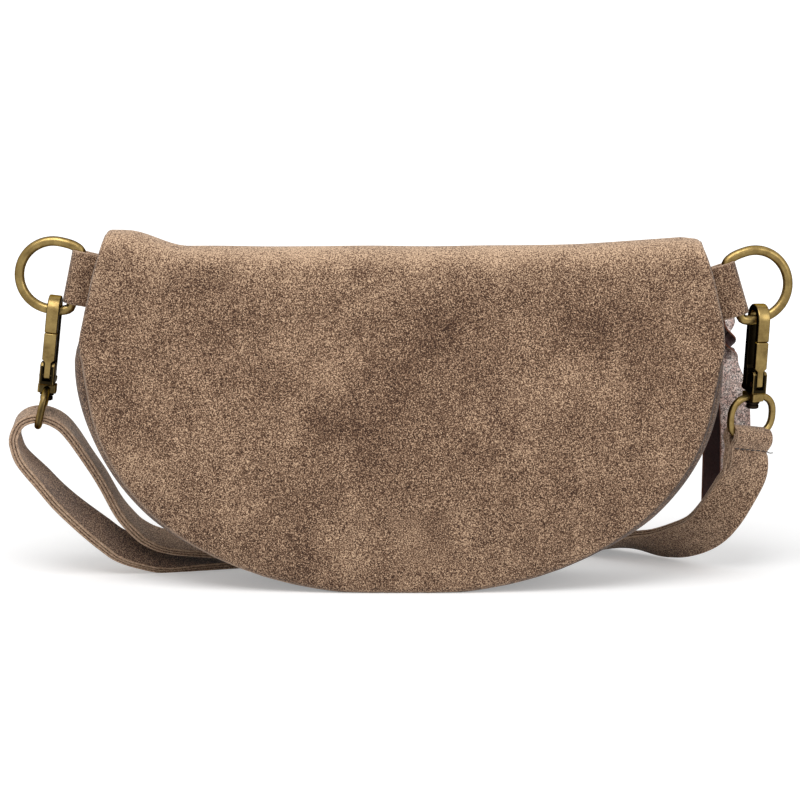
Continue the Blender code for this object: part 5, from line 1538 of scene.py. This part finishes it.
def make_left_strap():
    """The outer run up to the left loop, the turn through it and the inner run back to the floor."""
    bar = bar_point("left")
    low = [floor_point(x, 0) for x in LEFT_LOW_X]
    high = [floor_point(x, 1) for x in LEFT_HIGH_X]
    climb = [left_plane(x * MM - bar.x, z * MM) for x, z in LEFT_CLIMB]
    line = spaced(through(low + climb + high, 8), STEP)
    lengths = lengths_of(line)
    total = lengths[-1]
    top = nearest_length(line, left_plane(0.0, LEFT_CLIMB[LEFT_TOP][1] * MM))
    bar_across = -bar_direction("left")
    low_end = nearest_length(line, climb[1])
    high_end = nearest_length(line, climb[-2])
    turn_start = top - LEFT_BEFORE_TOP
    turn_end = top + LEFT_AFTER_TOP
    out_third = (turn_start - low_end) / 3
    in_third = (high_end - turn_end) / 3
    back_end = nearest_length(line, floor_point(LEFT_BACK_END, 1))
    marks = [low_end, low_end + out_third, low_end + 2 * out_third, turn_start, turn_end,
             turn_end + in_third, turn_end + 2 * in_third, high_end, back_end]
    starts = [0.0] + marks
    ends = marks + [total]

    def flat_at(length):
        if length < top:
            turned = smooth(low_end * 0.4, low_end * 0.6 + turn_start * 0.4, length)
            return LEFT_ACROSS.lerp(bar_across, turned)
        return bar_across.lerp(LEFT_ACROSS, smooth(turn_end, high_end * 0.9 + total * 0.1, length))

    def across_at(length):
        if length < top:
            lift = (smooth(low_end + OUT_LIFT[0], low_end + OUT_LIFT[1], length)
                    * smooth(turn_start, turn_start - OUT_LIFT_FADE, length))
            more = smooth(low_end + OUT_LIFT_MORE[0], low_end + OUT_LIFT_MORE[1], length)
            lift *= 1 + OUTER_LIFT * more
        else:
            lift = (smooth(turn_end + IN_LIFT[0], turn_end + IN_LIFT[1], length)
                    * smooth(high_end * 0.3 + total * 0.7, high_end - IN_LIFT_END, length))
        return flat_at(length) + UP * LEFT_LIFT * lift

    # painted shade on the outer run's face towards the inner run
    def painted_shade_at(length):
        if length > top:
            return 0.0
        return LEFT_PAINTED_SHADE * smooth(turn_start, turn_start * 0.45 + low_end * 0.55, length)

    def deep_at(length):
        swell = (smooth(low_end, low_end + SWELL_REACH, length)
                 * smooth(high_end, high_end - SWELL_REACH, length))
        return 1.0 + LOOP_SWELL * swell

    moved = []
    for index, (point, length) in enumerate(zip(line, lengths)):
        tangent = (line[min(len(line) - 1, index + 1)] - line[max(0, index - 1)]).normalized()
        lifted, flat = (way - tangent * way.dot(tangent) for way in (across_at(length), flat_at(length)))
        moved.append(point + (lifted.normalized() - flat.normalized()) * VISIBLE_WIDTH * NEAR_EDGE_HELD)
    moved_lengths = lengths_of(moved)

    def on_moved(length):
        """The same place's length along the moved line."""
        return moved_lengths[min(range(len(lengths)), key=lambda index: abs(lengths[index] - length))]

    pieces = cut_line(moved, [on_moved(length) for length in marks])
    names = ("strap_left_floor", "strap_left_out_low", "strap_left_out_mid", "strap_left_out_high",
             "strap_left_turn", "strap_left_in_high", "strap_left_in_mid", "strap_left_in_low",
             "strap_left_back_floor")
    chain = ("bag", "ring_left", "clasp_left", "swivel_left")
    chain += chain[::-1]
    fixed = {0: ("bag", "strap_outer_run_left"), 4: ("swivel_left", "strap_turn_left"),
             8: ("bag", "strap_inner_run_left")}
    for index, (name, piece) in enumerate(zip(names, pieces)):
        span = starts[index], ends[index]
        obj = ribbon(name, piece, on_piece(across_at, *span), STRAP_LOOK, nap_and_painted_light=LEFT_NAP,
                     caps=index in (0, 8), deep_of=on_piece(deep_at, *span),
                     painted_shade_of=on_piece(painted_shade_at, *span), beside=beside_of(pieces, index))
        if index in fixed:
            body, node = fixed[index]
            placed(obj, body, "suede", node)
        else:
            bend_along(obj, chain[index - 1], chain[index], piece)
    return line[0].x


def buckle_place():
    """The middle of the buckle's bar and the strap's way there."""
    spot = floor_point(BUCKLE_X, 0)
    spot.z = strap_level(1) + STRAP_THICKNESS / 2 + GAP + BUCKLE_WIRE
    return spot, Vector((1.0, LEFT_PLANE_SLOPE, 0.0)).normalized()


def make_floor_strap(low_x):
    """The two layers behind the bag: the fixed run to the buckle and the running one over its bar."""
    bar_z = buckle_place()[0].z
    end_x = BUCKLE_X - BUCKLE_HALF_LENGTH * 0.6
    fixed = spaced([floor_point(low_x, 0), floor_point(end_x, 0)], STEP)
    obj = ribbon("strap_fixed_end", fixed, lambda share: LEFT_ACROSS, STRAP_LOOK)
    bend_piece(obj, "bag", "adjuster", fixed[1], fixed[-2], "strap_fixed_floor")
    wrap = BUCKLE_WIRE + GAP + STRAP_SKIVED / 2
    over = bar_z + wrap + STRAP_SKIVED / 2 + GAP + STRAP_THICKNESS / 2
    points = [floor_point(LEFT_BACK_END, 1)]
    low_level = strap_level(1)
    for x_share, drop_share in HUMP_SHARES:
        spot = floor_point(BUCKLE_X + x_share * BUCKLE_HALF_LENGTH, 1)
        if drop_share <= 1:
            spot.z = over + (low_level - over) * drop_share
        else:
            spot.z = low_level + (strap_level(0) - low_level) * (drop_share - 1)
        points.append(spot)
    for back in (STRAP_WIDTH, STRAP_STEP * 2, STRAP_STEP, 0.0):
        points.append(floor_point(FLOOR_JOINT_X - back, 0))
    line = spaced(through(points, 8), STEP)
    before, hump, after = cut_line(line, [nearest_length(line, points[mark]) for mark in (3, 9)])

    def run_piece(name, piece):
        across_of = on_piece(floor_across, piece[0].x, piece[-1].x)
        return ribbon(name, piece, across_of, STRAP_LOOK, caps=False)

    bend_piece(run_piece("strap_run_before", before), "bag", "adjuster", before[0], before[-2],
               "strap_running_floor")
    placed(run_piece("strap_run_hump", hump), "adjuster", "suede")
    bend_piece(run_piece("strap_run_after", after), "adjuster", "bag", after[1], after[-2])
    spot, forward = buckle_place()
    start = floor_point(end_x + GAP + STRAP_SKIVED, 0)
    path = [start, spot + forward * (-wrap * 1.7) - UP * wrap * 1.45]
    for angle_deg in range(-100, 141, 24):
        angle = math.radians(angle_deg)
        path.append(spot + (forward * math.cos(angle) + UP * math.sin(angle)) * wrap)
    obj = ribbon("strap_sewn_wrap", spaced(through(path, 6), 0.7 * MM), lambda share: LEFT_ACROSS,
                 STRAP_LOOK, thickness=STRAP_SKIVED, plies=1)
    placed(obj, "adjuster", "suede", "strap_sewn_end")


def make_buckle():
    spot, forward = buckle_place()
    matrix = frame_of(spot, forward, UP.cross(forward), UP)
    path = rounded_box(BUCKLE_HALF_LENGTH, BUCKLE_HALF_WIDTH, BUCKLE_WIRE * 1.6, 6)
    rim = tube([matrix @ Vector((x, y, 0.0)) for x, y in path], BUCKLE_WIRE, 16, True)
    bar = tube([matrix @ Vector((0.0, y * BUCKLE_HALF_WIDTH, 0.0)) for y in (-1.0, -0.5, 0.0, 0.5, 1.0)],
               BUCKLE_WIRE * 0.95, 16)
    obj = new_object("buckle", *add_up([rim, bar]), BRASS)
    placed(obj, "adjuster", "antique_brass", "strap_buckle")


def make_right_strap():
    """The stitched fold round the right loop and the run that leaves its near leg for the floor."""
    bar = bar_point("right")
    across = bar_direction("right")
    across = Vector((across.x, across.y, -ROLL_FALL)).normalized()
    facing = across.cross(UP).normalized()
    up = facing.cross(across).normalized()
    up = up if up.z > 0 else -up
    centre = bar + Vector(ROLL_SHIFT)
    wrap = EYE_WIRE + GAP / 2 + FOLD_THICKNESS / 2
    leg = FOLD_THICKNESS * 0.4
    stitch_drop = wrap + FOLD_THICKNESS * 0.42
    path = [centre + facing * leg * 1.02 - up * (stitch_drop + 2.2 * MM),
            centre + facing * leg - up * stitch_drop]
    for angle_deg in range(-38, 219, 16):
        angle = math.radians(angle_deg)
        path.append(centre + (facing * math.cos(angle) + up * math.sin(angle)) * wrap)
    path += [centre - facing * leg - up * stitch_drop,
             centre - facing * leg - up * (stitch_drop + 5.0 * MM),
             centre - facing * leg * 0.8 - up * (stitch_drop + FOLD_TAIL)]
    fold = spaced(through(path, 6), 0.8 * MM)

    def fold_depth(share):
        """The fold's layers thin out towards its two ends."""
        return (1.0 - 0.6 * smooth(0.8, 1.0, share)) * (0.62 + 0.38 * smooth(0.03, 0.16, share))

    obj = ribbon("strap_fold", fold, lambda share: across, STRAP_LOOK, thickness=FOLD_THICKNESS,
                 nap_and_painted_light=0.05, deep_of=fold_depth)
    placed(obj, "swivel_right", "suede", "strap_fold_right")
    centres = [path[1] + up * 1.5 * MM, path[0].copy()]
    sides = [across.copy(), across.copy()]
    for x, y, z, side_x, side_y, side_z in RIGHT_RUN:
        centres.append(Vector((x, y, z)) * MM)
        sides.append(Vector((side_x, side_y, side_z)).normalized())
    for x in RIGHT_FLOOR_X:
        centres.append(floor_point(x, 0))
        sides.append(floor_across(x))
    fine = through(centres, 10)
    fine_sides = through(sides, 10)
    line = spaced(fine, STEP)
    fine_lengths = lengths_of(fine)
    total = fine_lengths[-1]
    low_end = nearest_length(line, centres[8])
    third = low_end / 3
    marks = [third, 2 * third, low_end]
    pieces = cut_line(line, marks)
    starts = [0.0] + marks
    ends = marks + [total]
    chain = ("swivel_right", "clasp_right", "ring_right", "bag")
    names = ("strap_right_high", "strap_right_mid", "strap_right_low", "strap_right_floor")

    def across_at(length):
        return point_at(fine_sides, fine_lengths, min(total, length))

    def deep_at(length):
        furrow = FURROW_DEPTH + (1 - FURROW_DEPTH) * smooth(*FURROW, length)
        return furrow * (1.0 + LOOP_SWELL * (1 - smooth(0.3, 0.8, length / total)))

    for index, (name, piece) in enumerate(zip(names, pieces)):
        span = starts[index], ends[index]
        obj = ribbon(name, piece, on_piece(across_at, *span), STRAP_LOOK, caps=index == 0,
                     deep_of=on_piece(deep_at, *span), beside=beside_of(pieces, index))
        if index == 3:
            placed(obj, "bag", "suede", "strap_run_right")
        else:
            bend_along(obj, chain[index], chain[index + 1], piece)

    def fold_stitches(name, way, depth, radius):
        base = centre + way * depth - up * stitch_drop
        half = VISIBLE_WIDTH / 2 - FOLD_SEAM_INSET
        seam = [base + across * (share * half) for share in (-1.0, -0.5, 0.0, 0.5, 1.0)]
        row = stitches(name, seam, way, FOLD_PITCH, FOLD_STITCH, radius, THREAD_DARK)
        placed(row, "swivel_right", "suede")
        return seam[-1]

    end = fold_stitches("stitches_fold_near", facing, leg + FOLD_THICKNESS * 0.33, NEAR_STITCH_RADIUS)
    loose = [end, end + across * 1.8 * MM + facing * 0.3 * MM - up * 0.6 * MM,
             end + across * 3.6 * MM + facing * 0.4 * MM - up * 0.4 * MM]
    thread = new_object("thread_end", *tube(through(loose, 4), LOOSE_THREAD, 8), THREAD_DARK, None)
    placed(thread, "swivel_right", "suede")
    fold_stitches("stitches_fold_far", -facing, leg + FOLD_THICKNESS / 2, FAR_STITCH_RADIUS)


# Zip parts and pull

def puller_frame():
    turn = math.radians(PULLER_REST_DEG)
    along = Vector((math.cos(turn), math.sin(turn), 0.0))
    return frame_of(BAIL_AXIS, along, UP, along.cross(UP))


PULLER_END = BAIL_RADIUS + PULLER_LENGTH
# The band round the pull's neck: how far down each of its two turns lies and how it tips
PULL_BANDS = ((16.0 * MM, 0.35), (18.4 * MM, -0.3))
PULL_BAND_RADIUS = 1.15 * MM


def make_pull():
    place = puller_frame()
    along = place.to_3x3() @ Vector((1.0, 0.0, 0.0))
    across = place.to_3x3() @ Vector((0.0, 0.0, 1.0))
    hole = place @ Vector((PULLER_END, 0.0, 0.0))
    reach = PULLER_THICKNESS / 2 + GAP + PULL_THICKNESS / 2
    over = PULL_HOLE - GAP - PULL_THICKNESS / 2
    lift = PULL_HOLE + PULLER_WIDTH * 0.2 + GAP + PULL_THICKNESS
    neck = -PULL_NECK_LENGTH
    spread = PULL_SPREAD
    front = [hole + across * (reach + spread) + along * PULL_SHIFT * 0.5 - UP * PULL_FRONT_LENGTH,
             hole + across * (reach + spread * 0.9) + along * PULL_SHIFT * 0.35 + UP * neck * 2,
             hole + across * (reach + spread * 0.3) + UP * neck,
             hole + across * (reach + GAP) - UP * lift]
    bend = [hole + across * reach - UP * over * 0.6,
            hole - UP * (over - PULL_THICKNESS),
            hole - across * reach - UP * over * 0.6]
    back = [hole - across * (reach + GAP) - UP * lift,
            hole - across * (reach + spread * 0.1) + UP * neck,
            hole - across * (reach + spread * 0.2) - along * PULL_SHIFT * 0.6 + UP * neck * 2,
            hole - across * (reach + spread * 0.2) - along * PULL_SHIFT - UP * PULL_BACK_LENGTH]
    points = spaced(through(front + bend + back, 10), 1.0 * MM)
    total = lengths_of(points)[-1]
    centre_share = (PULL_FRONT_LENGTH + reach) / total
    neck_share = PULL_NECK_LENGTH / total

    def width_at(share):
        away = abs(share - centre_share)
        return PULL_NECK_WIDTH + (PULL_TAIL_WIDTH - PULL_NECK_WIDTH) * smooth(
            neck_share * 0.6, neck_share * 1.7, away)

    flat = (Vector((1.0, 0.12, 0.0))).normalized()

    def across_at(share):
        away = abs(share - centre_share)
        turned = along.lerp(flat, smooth(neck_share * 0.9, neck_share * 1.6, away))
        if share > centre_share:
            return turned
        twist = 2 * math.pi * smooth(neck_share * 0.15, neck_share * 1.05, away)
        return Matrix.Rotation(twist, 3, "Z") @ turned

    obj = ribbon("pull_leather", points, across_at, PULL_FACE, width=PULL_TAIL_WIDTH,
                 thickness=PULL_THICKNESS, plies=1, width_of=width_at, flesh=True)
    placed(obj, "pull", "metallic_leather", "pull_strip")
    shapes = []
    for drop, tip in PULL_BANDS:
        ring = [hole - UP * drop + along * (3.1 * MM * math.cos(a)) + across * (2.5 * MM * math.sin(a))
                + UP * (tip * 2.0 * MM * math.cos(a)) for a in (2 * math.pi * n / 24 for n in range(24))]
        shapes.append(tube(ring, PULL_BAND_RADIUS, 12, True))
    knot = new_object("pull_knot", *add_up(shapes), PULL_FACE)
    mark(knot, "flesh", [0.7] * len(knot.data.vertices))
    placed(knot, "pull", "metallic_leather")


ZIP_EASE = 0.18 * MM


def make_zip_metal():
    """The zip's teeth, stops, slider and puller: the frame's forms with eased edges."""
    for name, body in (("zip_teeth_upper", "bag"), ("zip_teeth_lower", "bag"),
                       ("zip_top_stop_upper", "bag"), ("zip_top_stop_lower", "bag"),
                       ("zip_bottom_stop", "bag"), ("zip_slider", "slider"), ("zip_puller", "puller")):
        obj = frame_copy(name, "_brass", BRASS)
        obj.data.transform(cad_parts[name].matrix_world)
        ease = obj.modifiers.new("ease", "BEVEL")
        ease.width = ZIP_EASE
        ease.segments = 2
        ease.limit_method = "ANGLE"
        ease.angle_limit = math.radians(SMOOTH_DEG)
        placed(obj, body, "antique_brass", name)


# Stitches

STITCH_RADIUS = 0.28 * MM
ZIP_PITCH = 3.4 * MM
ZIP_STITCH = 2.7 * MM
FOLD_PITCH = 3.1 * MM
FOLD_STITCH = 2.6 * MM
FOLD_SEAM_INSET = 0.8 * MM


def stitches(name, points, outward, pitch, length, radius, look=THREAD):
    """A row of thread stitches along a line, each dipping into the leather at its ends."""
    lengths = lengths_of(points)
    count = int(lengths[-1] / pitch)
    shapes = []
    for index in range(count):
        start = index * pitch + (pitch - length) / 2
        spots = []
        for share in (0.0, 0.12, 0.35, 0.65, 0.88, 1.0):
            rise = radius * (1.0 - 2.2 * abs(2 * share - 1) ** 4)
            spots.append(point_at(points, lengths, start + length * share) + outward * rise)
        shapes.append(tube(spots, radius, 8))
    return new_object(name, *add_up(shapes), look, None)


def make_stitches():
    """The rows above and below the zip."""
    half = ZIP_HALF_LENGTH + 4.0 * MM
    away = ZIP_SLOT / 2 + 2.0 * MM
    for name, height in (("upper", ZIP_HEIGHT + away), ("lower", ZIP_HEIGHT - away)):
        line = [Vector((-half + 2 * half * step / 120, FAR_FACE_Y, height)) for step in range(121)]
        obj = stitches("stitches_zip_" + name, line, Vector((0.0, 1.0, 0.0)), ZIP_PITCH, ZIP_STITCH,
                       STITCH_RADIUS)
        placed(obj, "bag", "suede")


# Stage

FLOOR_HALF = 40.0
FLOOR_GREY = 0.82
# The floor's glow to the camera: from and to this distance and strength
GLOW_FROM, GLOW_TO = (0.25, 0.30), (0.9, 0.75)
WORLD_LEVEL = 0.52


def make_floor():
    verts = [(x * FLOOR_HALF, y * FLOOR_HALF, 0.0) for x, y in ((-1, -1), (1, -1), (1, 1), (-1, 1))]
    floor = new_object("floor", [Vector(v) for v in verts], [(0, 1, 2, 3)], floor_look(), None)


def new_node(tree, kind, operation=None, links=(), **numbers):
    """A node with some inputs given as numbers and others linked from outputs."""
    node = tree.nodes.new("ShaderNode" + kind)
    if operation:
        node.operation = operation
    for name, number in numbers.items():
        node.inputs[name.replace("_", " ")].default_value = number
    for target, source in links:
        tree.links.new(source, node.inputs[target])
    return node


def floor_look():
    """A pale floor that takes the shadow, and glows to the camera more the further off it is."""
    material = bpy.data.materials.new("floor_white")
    material.use_nodes = True
    tree = material.node_tree
    tree.nodes.remove(tree.nodes["Principled BSDF"])
    spot = new_node(tree, "TexCoord")
    away = new_node(tree, "VectorMath", "LENGTH", [(0, spot.outputs["Object"])])
    lift = new_node(tree, "MapRange", None, [("Value", away.outputs["Value"])], From_Min=GLOW_FROM[0],
                    To_Min=GLOW_FROM[1], From_Max=GLOW_TO[0], To_Max=GLOW_TO[1])
    path = new_node(tree, "LightPath")
    level = new_node(tree, "Math", "MULTIPLY",
                     [(0, path.outputs["Is Camera Ray"]), (1, lift.outputs["Result"])])
    diffuse = new_node(tree, "BsdfDiffuse", Color=(FLOOR_GREY, FLOOR_GREY, FLOOR_GREY, 1.0))
    glow = new_node(tree, "Emission", None, [("Strength", level.outputs[0])], Color=(1.0, 1.0, 1.0, 1.0))
    both = new_node(tree, "AddShader", None, [(0, diffuse.outputs[0]), (1, glow.outputs[0])])
    tree.links.new(both.outputs[0], tree.nodes["Material Output"].inputs["Surface"])
    return material


def make_world():
    """White where it is seen, also by metal and glass, and dimmer where it lights the object."""
    world = bpy.data.worlds.new("studio")
    bpy.context.scene.world = world
    world.use_nodes = True
    tree = world.node_tree
    ground = tree.nodes["Background"]
    ground.inputs["Color"].default_value = (1.0, 1.0, 1.0, 1.0)
    path = new_node(tree, "LightPath").outputs
    seen = new_node(tree, "Math", "MAXIMUM", [(0, path["Is Camera Ray"]), (1, path["Is Glossy Ray"])])
    clear = new_node(tree, "Math", "MAXIMUM", [(0, seen.outputs[0]), (1, path["Is Transmission Ray"])])
    level = new_node(tree, "MapRange", None, [("Value", clear.outputs[0])],
                     To_Min=WORLD_LEVEL, To_Max=1.0)
    tree.links.new(level.outputs["Result"], ground.inputs["Strength"])


def area_light(name, place, aim, size, power):
    light = bpy.data.lights.new(name, "AREA")
    light.shape = "RECTANGLE"
    light.size = size[0]
    light.size_y = size[1]
    light.energy = power
    obj = linked(name, light)
    obj.location = place
    obj.rotation_euler = (Vector(aim) - Vector(place)).to_track_quat("-Z", "Y").to_euler()


# Lamps: name, place, aim, size and power
LAMPS = (("key", (-0.25, -0.75, 1.35), (0.0, 0.0, 0.06), (1.1, 0.9), 15.0),
         ("fill", (1.1, -0.9, 0.7), (0.0, 0.0, 0.07), (0.8, 0.8), 3.5))
CAMERA_AIM = Vector((-0.6, -28.0, 85.2)) * MM
CAMERA_DISTANCE = 1200.0 * MM
CAMERA_ELEVATION_DEG = 9.0
SENSOR = 36.0
LENS = 126.33
CLIP_END = 90.0


def make_camera():
    data = bpy.data.cameras.new("camera")
    data.sensor_width = SENSOR
    data.sensor_fit = "HORIZONTAL"
    data.lens = LENS
    data.clip_end = CLIP_END
    camera = linked("camera", data)
    turn = math.radians(CAMERA_ELEVATION_DEG)
    back = Vector((0.0, -math.cos(turn), math.sin(turn)))
    camera.location = CAMERA_AIM + back * CAMERA_DISTANCE
    camera.rotation_euler = (-back).to_track_quat("-Z", "Y").to_euler()
    bpy.context.scene.camera = camera


make_camera()
make_world()
for LAMP in LAMPS:
    area_light(*LAMP)
make_floor()
bpy.context.scene.view_settings.view_transform = "Standard"

make_main_panel()
make_far_panel()
make_gusset()
make_inner()
make_tapes()
make_zip_metal()
make_pull()
for SIDE in ("left", "right"):
    make_d_ring(SIDE)
    make_tab(SIDE)
    make_hook(SIDE)
    make_gate(SIDE)
    make_spring(SIDE)
    make_swivel(SIDE)
make_floor_strap(make_left_strap())
make_buckle()
make_right_strap()
make_stitches()
